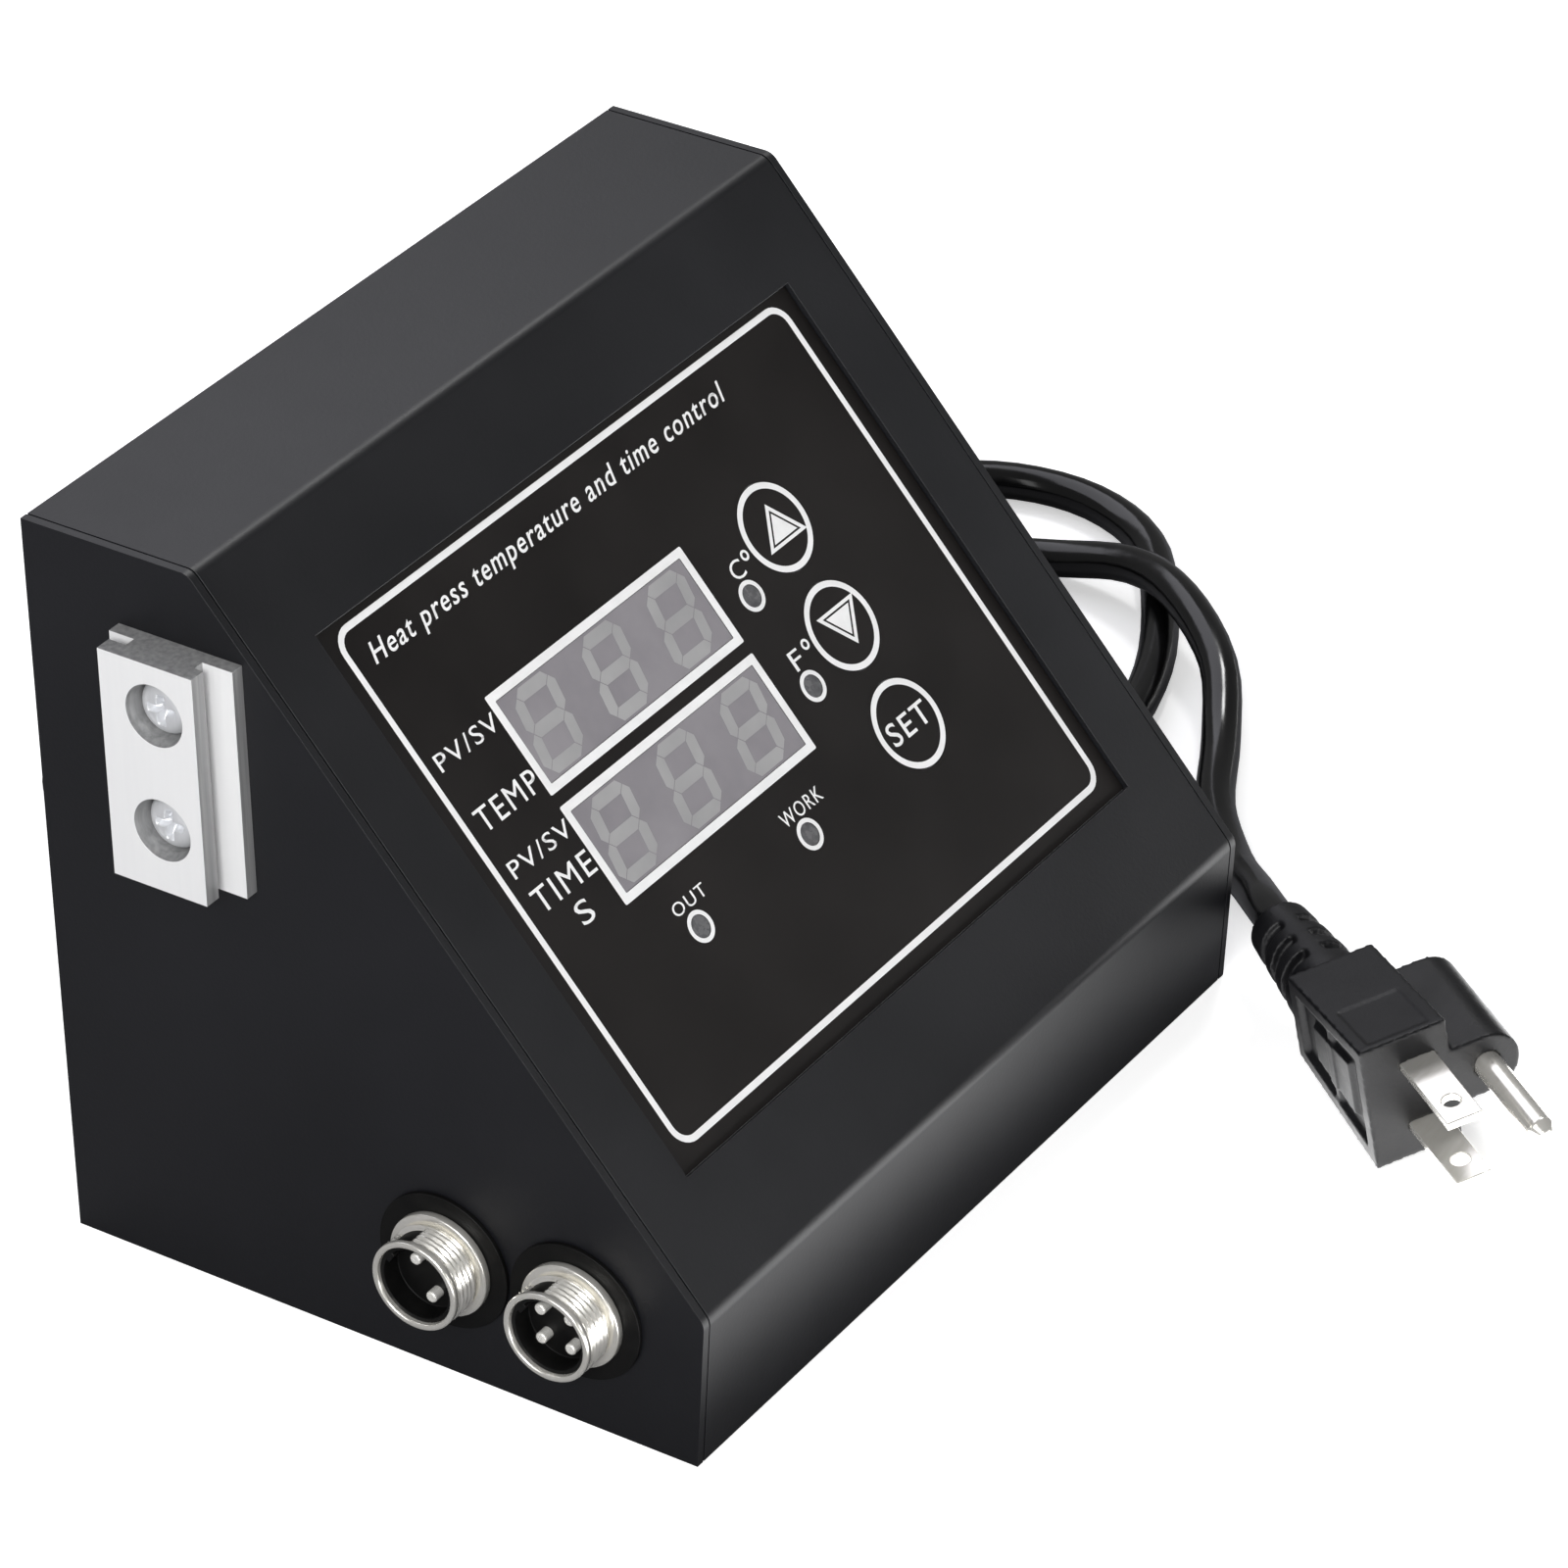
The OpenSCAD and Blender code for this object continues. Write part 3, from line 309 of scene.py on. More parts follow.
def moulded(name, dark, light, rough, grain, depth, cloud=40.0, **shader_values):
    """Paint, plastic or rubber: clouded between two tints, with grain and handled gloss."""
    material, tree, shader = start_material(name)
    marks = use_group(tree, HANDLING, Scale=cloud).outputs["Mask"]
    tree.links.new(mix_colours(tree, marks, dark, light), shader.inputs["Base Color"])
    vary_roughness(tree, shader, marks, *rough)
    add_bump(tree, shader, use_group(tree, GRAIN, Scale=grain).outputs["Height"], depth)
    for key, value in shader_values.items():
        shader.inputs[key.replace("_", " ")].default_value = value
    return material


def powder_coat(name):
    """Satin black powder coat: a fine orange peel, and edges painted a little lighter, partly as rubbed
    wear and partly as a painted highlight.
    """
    material, tree, shader = start_material(name)
    marks = use_group(tree, HANDLING, Scale=22.0).outputs["Mask"]
    worn_and_highlit = use_group(tree, WEAR_AND_EDGE_SHINE, Scale=260.0).outputs["Mask"]
    paint = mix_colours(tree, marks, (0.0026, 0.0028, 0.0042), (0.0036, 0.0038, 0.0056))
    # The lighter grey on the rounded edges is partly rubbed paint and partly a painted highlight.
    tree.links.new(mix_colours(tree, worn_and_highlit, paint, (0.030, 0.030, 0.033)), shader.inputs["Base Color"])
    vary_roughness(tree, shader, marks, 0.40, 0.47)
    add_bump(tree, shader, use_group(tree, GRAIN, Scale=1400.0).outputs["Height"], 0.00002)
    return material


def plated(name, dark, light, rough, scratch_scale, stretch, depth, metallic=1.0):
    """Metal with fine drawn lines: noise stretched along the draw, in tint, gloss and height."""
    material, tree, shader = start_material(name)
    lines = noise_in(tree, None, scale=scratch_scale, detail=3.0, stretch=stretch)
    marks = use_group(tree, HANDLING, Scale=60.0).outputs["Mask"]
    drawn = mix_colours(tree, lines, dark, light)
    dull = tuple(0.86 * part for part in dark)
    wiped = mix_colours(tree, marks, drawn, dull)
    blend = add_node(tree, "ShaderNodeMix", data_type="RGBA")
    blend.inputs["Factor"].default_value = 0.3
    tree.links.new(drawn, blend.inputs["A"])
    tree.links.new(wiped, blend.inputs["B"])
    tree.links.new(blend.outputs["Result"], shader.inputs["Base Color"])
    vary_roughness(tree, shader, lines, *rough)
    shader.inputs["Metallic"].default_value = metallic
    add_bump(tree, shader, lines, depth)
    return material


def circuit_board(name):
    """Green solder mask over copper: tracks on a 2.5 mm brick grid show lighter and raised."""
    material, tree, shader = start_material(name)
    place = add_node(tree, "ShaderNodeTexCoord")
    tracks = add_node(tree, "ShaderNodeTexBrick")
    tracks.inputs["Scale"].default_value = 90.0
    tracks.inputs["Mortar Size"].default_value = 0.03
    tracks.inputs["Color1"].default_value = (0.004, 0.050, 0.018, 1)
    tracks.inputs["Color2"].default_value = (0.006, 0.065, 0.024, 1)
    tracks.inputs["Mortar"].default_value = (0.015, 0.13, 0.05, 1)
    tree.links.new(place.outputs["Object"], tracks.inputs["Vector"])
    marks = use_group(tree, HANDLING, Scale=80.0).outputs["Mask"]
    tree.links.new(tracks.outputs["Color"], shader.inputs["Base Color"])
    vary_roughness(tree, shader, marks, 0.22, 0.34)
    add_bump(tree, shader, tracks.outputs["Fac"], 0.00003)
    return material


def laminated(name):
    """Varnished steel laminations: fine bands across the stack, with darker varnish clouds."""
    material, tree, shader = start_material(name)
    place = add_node(tree, "ShaderNodeTexCoord")
    bands = add_node(tree, "ShaderNodeTexWave", bands_direction="Y")
    bands.inputs["Scale"].default_value = 330.0
    bands.inputs["Distortion"].default_value = 0.4
    tree.links.new(place.outputs["Object"], bands.inputs["Vector"])
    marks = use_group(tree, HANDLING, Scale=90.0).outputs["Mask"]
    plates = mix_colours(tree, bands.outputs["Fac"], (0.05, 0.05, 0.055), (0.17, 0.17, 0.18))
    tree.links.new(mix_colours(tree, marks, plates, (0.06, 0.045, 0.03)), shader.inputs["Base Color"])
    vary_roughness(tree, shader, marks, 0.35, 0.55)
    shader.inputs["Metallic"].default_value = 0.6
    add_bump(tree, shader, bands.outputs["Fac"], 0.00008)
    return material


def clear_tube(name):
    """Clear glass with a faint smear of roughness."""
    material, tree, shader = start_material(name)
    shader.inputs["Base Color"].default_value = (0.93, 0.96, 0.95, 1)
    shader.inputs["Transmission Weight"].default_value = 1.0
    shader.inputs["IOR"].default_value = 1.5
    vary_roughness(tree, shader, use_group(tree, HANDLING, Scale=120.0).outputs["Mask"], 0.02, 0.10)
    return material


def aluminium_with_painted_side_shade(name):
    """Extruded aluminium: a pale ground face towards the left, and sides painted dark grey as shade by
    which way they point, with streaks along the extrusion.
    """
    material, tree, shader = start_material(name)
    shape = add_node(tree, "ShaderNodeNewGeometry")
    split = add_node(tree, "ShaderNodeSeparateXYZ")
    # Which way each face points picks its colour: the face towards the left is pale, and every other
    # side is painted dark grey as shade.
    face = add_node(tree, "ShaderNodeMapRange")
    face.inputs["From Min"].default_value = -0.75
    face.inputs["From Max"].default_value = -0.95
    tree.links.new(shape.outputs["Normal"], split.inputs[0])
    tree.links.new(split.outputs["X"], face.inputs["Value"])
    streaks = noise_in(tree, None, scale=1100.0, detail=3.0, stretch=(1, 1, 0.03))
    sides = mix_colours(tree, streaks, (0.13, 0.132, 0.136), (0.46, 0.46, 0.46))
    ground = mix_colours(tree, streaks, (0.93, 0.93, 0.935), (0.98, 0.98, 0.98))
    tree.links.new(mix_colours(tree, face.outputs["Result"], sides, ground), shader.inputs["Base Color"])
    vary_roughness(tree, shader, streaks, 0.34, 0.48)
    shader.inputs["Metallic"].default_value = 0.25
    add_bump(tree, shader, streaks, 0.000006)
    return material


PAINT = {
    "powder_black": powder_coat("powder_black"),
    "zinc_steel": plated("zinc_steel", (0.74, 0.75, 0.77), (0.92, 0.93, 0.95), (0.24, 0.38), 900.0,
                         (1, 1, 0.1), 0.000004, metallic=0.5),
    "overlay_black": moulded("overlay_black", (0.0036, 0.0024, 0.0021), (0.0050, 0.0034, 0.0029),
                             (0.40, 0.48), 2600.0, 0.000008, cloud=28.0,
                             Specular_IOR_Level=0.36),
    "switch_plastic": moulded("switch_plastic", (0.012, 0.012, 0.013), (0.017, 0.017, 0.018),
                              (0.38, 0.5), 2200.0, 0.00001),
    "rocker_plastic": moulded("rocker_plastic", (0.010, 0.010, 0.010), (0.014, 0.014, 0.014),
                              (0.16, 0.26), 1800.0, 0.000004),
    "window_grey": moulded("window_grey", (0.255, 0.242, 0.261), (0.309, 0.294, 0.313), (0.12, 0.2),
                           900.0, 0.000002, cloud=55.0),
    "display_grey": moulded("display_grey", (0.355, 0.351, 0.357), (0.413, 0.409, 0.413), (0.3, 0.4),
                            2400.0, 0.000004, cloud=70.0),
    "lamp_grey": moulded("lamp_grey", (0.085, 0.085, 0.09), (0.15, 0.15, 0.155), (0.2, 0.3), 1500.0,
                         0.00001, cloud=500.0),
    "board_green": circuit_board("board_green"),
    "brass": plated("brass", (0.62, 0.42, 0.14), (0.80, 0.60, 0.26), (0.22, 0.34), 1200.0,
                    (1, 1, 0.15), 0.000004),
    "ribbon_grey": moulded("ribbon_grey", (0.33, 0.34, 0.36), (0.40, 0.41, 0.43), (0.4, 0.5), 1500.0,
                           0.00001),
    "core_steel": laminated("core_steel"),
    "winding_tape": moulded("winding_tape", (0.55, 0.36, 0.05), (0.68, 0.48, 0.09), (0.2, 0.34),
                            900.0, 0.00002, cloud=120.0),
    "relay_blue": moulded("relay_blue", (0.02, 0.08, 0.32), (0.03, 0.11, 0.40), (0.25, 0.38), 1500.0,
                          0.00001),
    "capacitor_sleeve": moulded("capacitor_sleeve", (0.02, 0.02, 0.07), (0.03, 0.03, 0.10),
                                (0.2, 0.32), 1500.0, 0.00001),
    "terminal_green": moulded("terminal_green", (0.02, 0.17, 0.06), (0.03, 0.22, 0.09), (0.35, 0.48),
                              1500.0, 0.00001),
    "nickel": plated("nickel", (0.86, 0.83, 0.76), (0.97, 0.96, 0.92), (0.14, 0.26), 1500.0,
                     (0.15, 1, 1), 0.000003, metallic=0.72),
    "insulator_black": moulded("insulator_black", (0.0022, 0.0022, 0.0022), (0.0040, 0.0038, 0.0036),
                               (0.45, 0.6), 2000.0, 0.000006, cloud=200.0,
                               Specular_IOR_Level=0.2),
    "contact_gold": plated("contact_gold", (0.92, 0.90, 0.84), (0.99, 0.98, 0.95), (0.2, 0.34),
                           1800.0, (0.2, 1, 1), 0.000002, metallic=0.4),
    "rail_aluminium": aluminium_with_painted_side_shade("rail_aluminium"),
    "fuse_glass": clear_tube("fuse_glass"),
    "cord_black": moulded("cord_black", (0.0022, 0.0022, 0.0024), (0.0038, 0.0038, 0.0040),
                          (0.13, 0.22), 700.0, 0.000006, cloud=60.0),
}
PRINT_WHITE = moulded("print_white", (0.90, 0.90, 0.90), (0.97, 0.97, 0.97), (0.4, 0.55), 2600.0,
                      0.000004, cloud=180.0)
PLUG_GREY = moulded("plug_grey", (0.0030, 0.0030, 0.0038), (0.0050, 0.0050, 0.0060), (0.38, 0.52),
                    1500.0, 0.00003, cloud=90.0, Specular_IOR_Level=0.3)

SLOT_OF = {part["node"]: part["material_slot"] for part in frame["record"]["subparts"]}

# ---- mesh helpers ----


def show(name, mesh, body, slot=None, material=None, replaces=()):
    """Links a mesh as a piece that rides on a body, with its slot, its material and what it replaces."""
    piece = bpy.data.objects.new(name, mesh)
    bpy.context.collection.objects.link(piece)
    mesh.materials.clear()
    mesh.materials.append(material or PAINT[slot])
    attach(piece, body)
    if replaces:
        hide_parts(*replaces)
    return piece


def body_of(node):
    """The body that a CAD node rides on."""
    return frame["nodes"][node]["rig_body"]


def grid_faces(rows, columns, wrap_rows=False, wrap_columns=False, first=0):
    """Quads over a grid of rows x columns points, whose last row or column may join the first."""
    index = first + np.arange(rows * columns).reshape(rows, columns)
    if wrap_rows:
        index = np.vstack([index, index[:1]])
    if wrap_columns:
        index = np.hstack([index, index[:, :1]])
    corners = [index[:-1, :-1], index[1:, :-1], index[1:, 1:], index[:-1, 1:]]
    return np.stack(corners, -1).reshape(-1, 4)


def mesh_from(name, parts, smooth_angle=40.0, merge=1e-7):
    """One mesh of several (points, faces) parts, its doubles merged and its faces turned outwards."""
    points, faces, first = [], [], 0
    for part_points, part_faces in parts:
        points.append(np.asarray(part_points, float).reshape(-1, 3))
        faces += [[int(corner) + first for corner in face] for face in part_faces]
        first += len(points[-1])
    mesh = bpy.data.meshes.new(name)
    mesh.from_pydata(np.concatenate(points).tolist(), [], faces)
    work = bmesh.new()
    work.from_mesh(mesh)
    bmesh.ops.remove_doubles(work, verts=work.verts, dist=merge)
    bmesh.ops.dissolve_degenerate(work, edges=work.edges, dist=merge)
    bmesh.ops.recalc_face_normals(work, faces=work.faces)
    work.to_mesh(mesh)
    work.free()
    smooth(mesh, smooth_angle)
    return mesh


def points_of(mesh):
    """A mesh's points as an array of rows (x, y, z)."""
    points = np.empty(len(mesh.vertices) * 3)
    mesh.vertices.foreach_get("co", points)
    return points.reshape(-1, 3)


def smooth(mesh, angle):
    """Smooth shading, with edges sharper than the angle in degrees kept sharp."""
    mesh.shade_smooth()
    mesh.set_sharp_from_angle(angle=math.radians(angle))


def turned(profile, centre, axis, sectors=64, start=(0, 0, 1), swell=None):
    """A surface of revolution about an axis: point(s, t) = centre + axis * along(s)
    + radius(s) * (side * cos t + other * sin t). swell(along, t) is added to the radius."""
    axis = Vector(axis).normalized()
    side = Vector(start).cross(axis).normalized()
    other = axis.cross(side)
    along, radius = np.asarray(profile, float).T
    angle = np.arange(sectors) * TURN / sectors
    reach = np.repeat(radius[:, None], sectors, 1)
    if swell is not None:
        reach = reach + swell(along[:, None], angle[None, :])
    points = (np.array(centre) + along[:, None, None] * np.array(axis)
              + (reach * np.cos(angle))[..., None] * np.array(side)
              + (reach * np.sin(angle))[..., None] * np.array(other))
    return points.reshape(-1, 3), grid_faces(len(along), sectors, wrap_columns=True)


FLAT_ANGLE, CREASE_ANGLE = 0.4, 50


def softened(node, name, width, angle=28.0, material=None):
    """A copy of a CAD node with its doubles merged, its flats made whole and its edges rounded
    to a width in metres by a three-step bevel. It stands for the node."""
    mesh = frame["nodes"][node].data.copy()
    mesh.name = name
    work = bmesh.new()
    work.from_mesh(mesh)
    rounded = work.faces.layers.float.new(ROUNDED)
    bmesh.ops.remove_doubles(work, verts=work.verts, dist=WELD)
    bmesh.ops.dissolve_limit(work, angle_limit=math.radians(FLAT_ANGLE), verts=work.verts,
                             edges=work.edges)
    sharp = [edge for edge in work.edges
             if len(edge.link_faces) == 2 and edge.calc_face_angle(0) > math.radians(angle)]
    rounds = set(bmesh.ops.bevel(work, geom=sharp, offset=width, segments=3, profile=0.5,
                                 affect="EDGES", clamp_overlap=True)["faces"])
    for face in work.faces:
        face.smooth = True
        face[rounded] = float(face in rounds)
    for edge in work.edges:
        sides = edge.link_faces
        edge.smooth = (len(sides) == 2 and (sides[0] in rounds) == (sides[1] in rounds)
                       and edge.calc_face_angle(0) < math.radians(CREASE_ANGLE))
    work.to_mesh(mesh)
    work.free()
    return show(name, mesh, body_of(node), slot=SLOT_OF[node], material=material, replaces=[node])


# ---- mains lead: one cord from the box through its coil and its two open loops to the plug ----

CORD_R = 3.55 * MM
LEAD = [[0, 75, 20], [0, 97, 20], [1, 112, 17.5], [6, 127, 11.5], [16, 140, 6.2], [31, 148.5, 3.8],
        [50, 152, 3.6]]
TAIL = [[70, 149, 9.8], [88, 141.5, 10.6], [107.5, 128, 10.4], [132.5, 110.5, 6],
        [156, 93.5, 3.7], [172.5, 81, 3.6], [189, 69, 3.6], [197.5, 55, 3.6], [198.5, 38.5, 3.6],
        [191, 22.5, 3.6], [175, 10, 3.6], [153.5, -1.5, 3.6], [132.5, -6.5, 3.6], [112, -2, 3.6],
        [98.5, 10, 3.6], [93, 26, 3.6], [96, 42.5, 3.6], [107, 56.5, 3.6], [123, 63.5, 3.6],
        [141.5, 62.5, 3.6], [159, 57, 3.6], [170.5, 46.5, 3.6], [176, 32, 4.8], [175, 16, 9],
        [167, 1, 11.2], [153.5, -15, 9.2], [138.5, -24.5, 4.4], [120.5, -34, 3.6],
        [104.5, -47, 5], [93, -57.5, 9.6], [84, -65.5, 13.4], [76.6, -73.3, 15.3]]
COIL_X, COIL_Y = 62, 111
COIL_R, COIL_TURN, COIL_LOW, COIL_RISE = 42, 7.2, 3.6, 6.2
COIL_FROM, COIL_THROUGH = 106.3, 1108.3
STEP_IN, CLIMB, HUMP_UP, HUMP_DOWN, HUMP = (295, 360), (580, 655), (640, 670), (710, 740), 0.9


def eased(value, start, end):
    """0 before start, 1 after end, and a smooth step between them."""
    t = np.clip((value - start) / (end - start), 0, 1)
    return t * t * (3 - 2 * t)


def window(value, low, high, soft=0.5):
    """1 between low and high, falling to 0 over a soft edge."""
    return eased(value, low - soft, low + soft) * (1 - eased(value, high - soft, high + soft))


def coil_points(steps=70):
    """The coil's turns, clockwise from above: an outer turn and an inner turn on the table, then
    a turn in the groove on top of them. The radius steps in once, then out by half a turn, and
    the top turn humps up where it crosses its own start. The angles are in degrees of turning."""
    turned_by = np.linspace(0, COIL_THROUGH, steps + 2)[1:-1]
    angle = np.radians(COIL_FROM - turned_by)
    inward = eased(turned_by, *STEP_IN)
    climb = eased(turned_by, *CLIMB)
    radius = COIL_R - COIL_TURN * inward + COIL_TURN / 2 * climb
    hump = HUMP * eased(turned_by, *HUMP_UP) * (1 - eased(turned_by, *HUMP_DOWN))
    height = COIL_LOW + COIL_RISE * climb + hump
    return np.stack([COIL_X + radius * np.cos(angle), COIL_Y + radius * np.sin(angle), height], 1)


def catmull_rom(points, steps):
    """A smooth curve through points: on each span the cubic whose end slopes are half the
    difference of the neighbours on either side."""
    padded = np.vstack([2 * points[0] - points[1], points, 2 * points[-1] - points[-2]])
    a, b, c, d = padded[:-3], padded[1:-2], padded[2:-1], padded[3:]
    t = (np.arange(steps) / steps)[:, None, None]
    curve = 0.5 * (2 * b + (c - a) * t + (2 * a - 5 * b + 4 * c - d) * t ** 2
                   + (3 * b - a - 3 * c + d) * t ** 3)
    return np.vstack([curve.transpose(1, 0, 2).reshape(-1, 3), points[-1:]])


def make_lead():
    """The lead as one round curve through the route's points."""
    route = np.vstack([LEAD, coil_points(), TAIL]) * MM
    line = catmull_rom(route, 4)
    curve = bpy.data.curves.new("mains_lead", "CURVE")
    curve.dimensions = "3D"
    curve.bevel_depth = CORD_R
    curve.bevel_resolution = 5
    curve.use_fill_caps = True
    spline = curve.splines.new("POLY")
    spline.points.add(len(line) - 1)
    spline.points.foreach_set("co", np.hstack([line, np.ones((len(line), 1))]).ravel())
    spline.use_smooth = True
    lead = bpy.data.objects.new("mains_lead", curve)
    bpy.context.collection.objects.link(lead)
    curve.materials.append(PAINT["cord_black"])
    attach(lead, "box")
    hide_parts("cord_lead", "cord_coil", "cord_tail")
    return lead, float(np.linalg.norm(np.diff(line, axis=0), axis=1).sum())


# ---- the plug ----

PLUG_FACE = Vector((50, -114.5, 14.2)) * MM
PLUG_TURN = [math.radians(angle) for angle in (10, 1.5, -125)]
PLUG_FRAME = Matrix.Translation(PLUG_FACE) @ Euler(PLUG_TURN, "XYZ").to_matrix().to_4x4()
PLUG_HALF, PLUG_TAPER, PLUG_L = 12.5, 4.0, 29
GRIP_DEPTH, LABEL_DEPTH = 1.1, 0.22
PLUG_VOXEL = 0.36 * MM


def make_plug_body():
    """The moulded body: the CAD body fused into one skin, rubbed smooth, then pressed in by masks
    for the grip recess on its left side and for the plain label field on top near the face."""
    mesh = frame["nodes"]["plug_body"].data.copy()
    mesh.name = "plug_moulding"
    work = bmesh.new()
    work.from_mesh(mesh)
    bmesh.ops.remove_doubles(work, verts=work.verts, dist=WELD)
    work.to_mesh(mesh)
    work.free()
    draft = bpy.data.objects.new("plug_draft", mesh)
    bpy.context.collection.objects.link(draft)
    skin = draft.modifiers.new("skin", "REMESH")
    skin.mode = "VOXEL"
    skin.voxel_size = PLUG_VOXEL
    rub = draft.modifiers.new("rub", "SMOOTH")
    rub.iterations = 4
    rub.factor = 0.5
    skinned = bpy.data.meshes.new_from_object(
        draft.evaluated_get(bpy.context.evaluated_depsgraph_get()))
    bpy.data.objects.remove(draft)
    skinned.name = "plug_moulding"
    inverse = np.array(PLUG_FRAME.inverted())
    local = (points_of(skinned) @ inverse[:3, :3].T + inverse[:3, 3]) / MM
    x, y, z = local.T
    half = PLUG_HALF - PLUG_TAPER * np.clip(-x, 0, PLUG_L) / PLUG_L

    def inside(rim):
        """1 further in than the rim from the body's tapered edge, with a soft step."""
        return 1 - eased(np.abs(z), half - rim - 0.4, half - rim + 0.4)

    left_side = 1 - eased(y, -9.0, -8.2)
    field = window(x, -26.0, -3.0) * inside(3.0)
    island = window(x, -21.0, -6.5) * inside(5.8)
    rib = window(x, -15.2, -13.2) * inside(3.0)
    local[:, 1] += left_side * GRIP_DEPTH * np.clip(field - 0.8 * island - 0.7 * rib, 0, 1)
    top_side = eased(z, half - 1.2, half - 0.6)
    label = window(x, -13.5, -1.6, 0.25) * window(y, -7.6, 3.4, 0.25)
    local[:, 2] -= top_side * LABEL_DEPTH * label
    back = np.array(PLUG_FRAME)
    moved = (local * MM) @ back[:3, :3].T + back[:3, 3]
    skinned.vertices.foreach_set("co", moved.ravel())
    skinned.update()
    smooth(skinned, 60.0)
    return show("plug_moulding", skinned, "box", slot="cord_black", material=PLUG_GREY,
                replaces=["plug_body"])


TIE_OUT, TIE_T, TIE_AT = 0.5, 0.7, 200


def make_coil_tie():
    """The tie: a flat band carried round the three turns' section, a rounded triangle whose
    corners are arcs about the turns' centres, with its foot on the table."""
    lift = CORD_R / MM + TIE_OUT
    centres = [(COIL_R, COIL_LOW), (COIL_R - COIL_TURN / 2, COIL_LOW + COIL_RISE),
               (COIL_R - COIL_TURN, COIL_LOW)]
    arcs = [(-90, 30), (30, 150), (150, 270)]
    outline = []
    for (r, z), (start, end) in zip(centres, arcs):
        angle = np.radians(np.linspace(start, end, 14))
        outline.append(np.stack([r + lift * np.cos(angle), z + lift * np.sin(angle)], 1))
    outline = np.vstack(outline)
    middle = outline.mean(0)
    inner = middle + (outline - middle) * (1 - TIE_T / lift)
    half_width, lip = 2.5, 0.15
    section = [(outline, -half_width + lip), (outline, half_width - lip), (inner, half_width),
               (inner, -half_width)]
    turn = math.radians(TIE_AT)
    out = np.array([math.cos(turn), math.sin(turn)])
    along = np.array([-math.sin(turn), math.cos(turn)])
    rows = []
    for ring, offset in section:
        flat = ring[:, :1] * out + offset * along + np.array([COIL_X, COIL_Y])
        rows.append(np.hstack([flat, np.maximum(ring[:, 1:], 0.02)]))
    points = np.stack(rows) * MM
    faces = grid_faces(len(rows), len(outline), wrap_rows=True, wrap_columns=True)
    mesh = mesh_from("tie_band", [(points, faces)], merge=FINE_WELD)
    return show("tie_band", mesh, "box", slot="cord_black", material=PAINT["switch_plastic"],
                replaces=["coil_tie"])


place_camera()
set_studio()
lay_floor()
lead, lead_length = make_lead()
plug = make_plug_body()
tie = make_coil_tie()
blades = softened("plug_blades", "contact_blades", 0.22 * MM)
ground_pin = softened("plug_ground_pin", "ground_pin", 0.3 * MM)
softened("cord_gland", "cord_sleeve", 0.3 * MM, material=PAINT["switch_plastic"])

# ---- case ----

softened("chassis", "case_base", 0.3 * MM)
softened("front_cover", "case_cover", 0.3 * MM)
softened("back_panel", "case_back", 0.25 * MM)

# ---- panel: everything on it is placed across and up from the middle of the overlay's face ----

PRESS = Vector(next(joint["axis"] for joint in frame["joints"] if joint["name"] == "up_key_press"))
OUTWARD = -PRESS.normalized()
ACROSS = Vector((1, 0, 0))
UP_SLOPE = OUTWARD.cross(ACROSS)
overlay_low, overlay_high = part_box("panel_overlay")
OVERLAY_T = 0.5 * MM
PANEL_MID = (overlay_low + overlay_high) / 2 + OUTWARD * OVERLAY_T / 2
INK = 0.03 * MM


def panel_place(node):
    """Where a CAD node's middle lies on the panel, across and up, in millimetres: half way between
    its furthest points in each direction."""
    points = np.array([vert.co for vert in frame["nodes"][node].data.vertices]) - np.array(PANEL_MID)
    spread = points @ np.array([ACROSS, UP_SLOPE]).T
    return tuple((spread.min(0) + spread.max(0)) / 2 / MM)


def on_panel(flat, height=0.0):
    """Panel points (across, up, out) in millimetres as points in the row frame."""
    basis = np.array([ACROSS, UP_SLOPE, OUTWARD])
    return np.array(PANEL_MID + OUTWARD * height) + (np.asarray(flat, float) * MM) @ basis


def rounded_outline(centre, half, radius, steps=8):
    """A rectangle's outline with round corners: a quarter arc at each corner."""
    angle = np.radians(np.linspace(0, 90, steps))
    corners = []
    for quarter, (sx, sy) in enumerate([(1, 1), (-1, 1), (-1, -1), (1, -1)]):
        turn = angle + quarter * math.pi / 2
        corners.append(np.stack([centre[0] + sx * (half[0] - radius) + radius * np.cos(turn),
                                 centre[1] + sy * (half[1] - radius) + radius * np.sin(turn)], 1))
    return np.vstack(corners)


def circle_outline(centre, radius, steps=64):
    """A circle's outline."""
    angle = np.arange(steps) * TURN / steps
    return np.stack([centre[0] + radius * np.cos(angle), centre[1] + radius * np.sin(angle)], 1)


def printed_band(outer, inner, height=0.0):
    """A closed printed line between two outlines with the same number of points, as a thin ring
    of four sides: outline(s, t) goes outer top, inner top, inner foot, outer foot."""
    thick = INK / MM
    rows = [np.hstack([ring, np.full((len(ring), 1), level)])
            for ring, level in ((outer, thick), (inner, thick), (inner, 0), (outer, 0))]
    return on_panel(np.stack(rows), height).reshape(-1, 3), grid_faces(
        4, len(outer), wrap_rows=True, wrap_columns=True)


def printed_patch(outline, height=0.0):
    """A filled printed shape: the outline's prism, as thick as the ink."""
    count = len(outline)
    rows = [np.hstack([outline, np.full((count, 1), level)]) for level in (0, INK / MM)]
    sides = grid_faces(2, count, wrap_columns=True).tolist()
    caps = [list(range(count))[::-1], list(range(count, 2 * count))]
    return on_panel(np.stack(rows), height).reshape(-1, 3), sides + caps


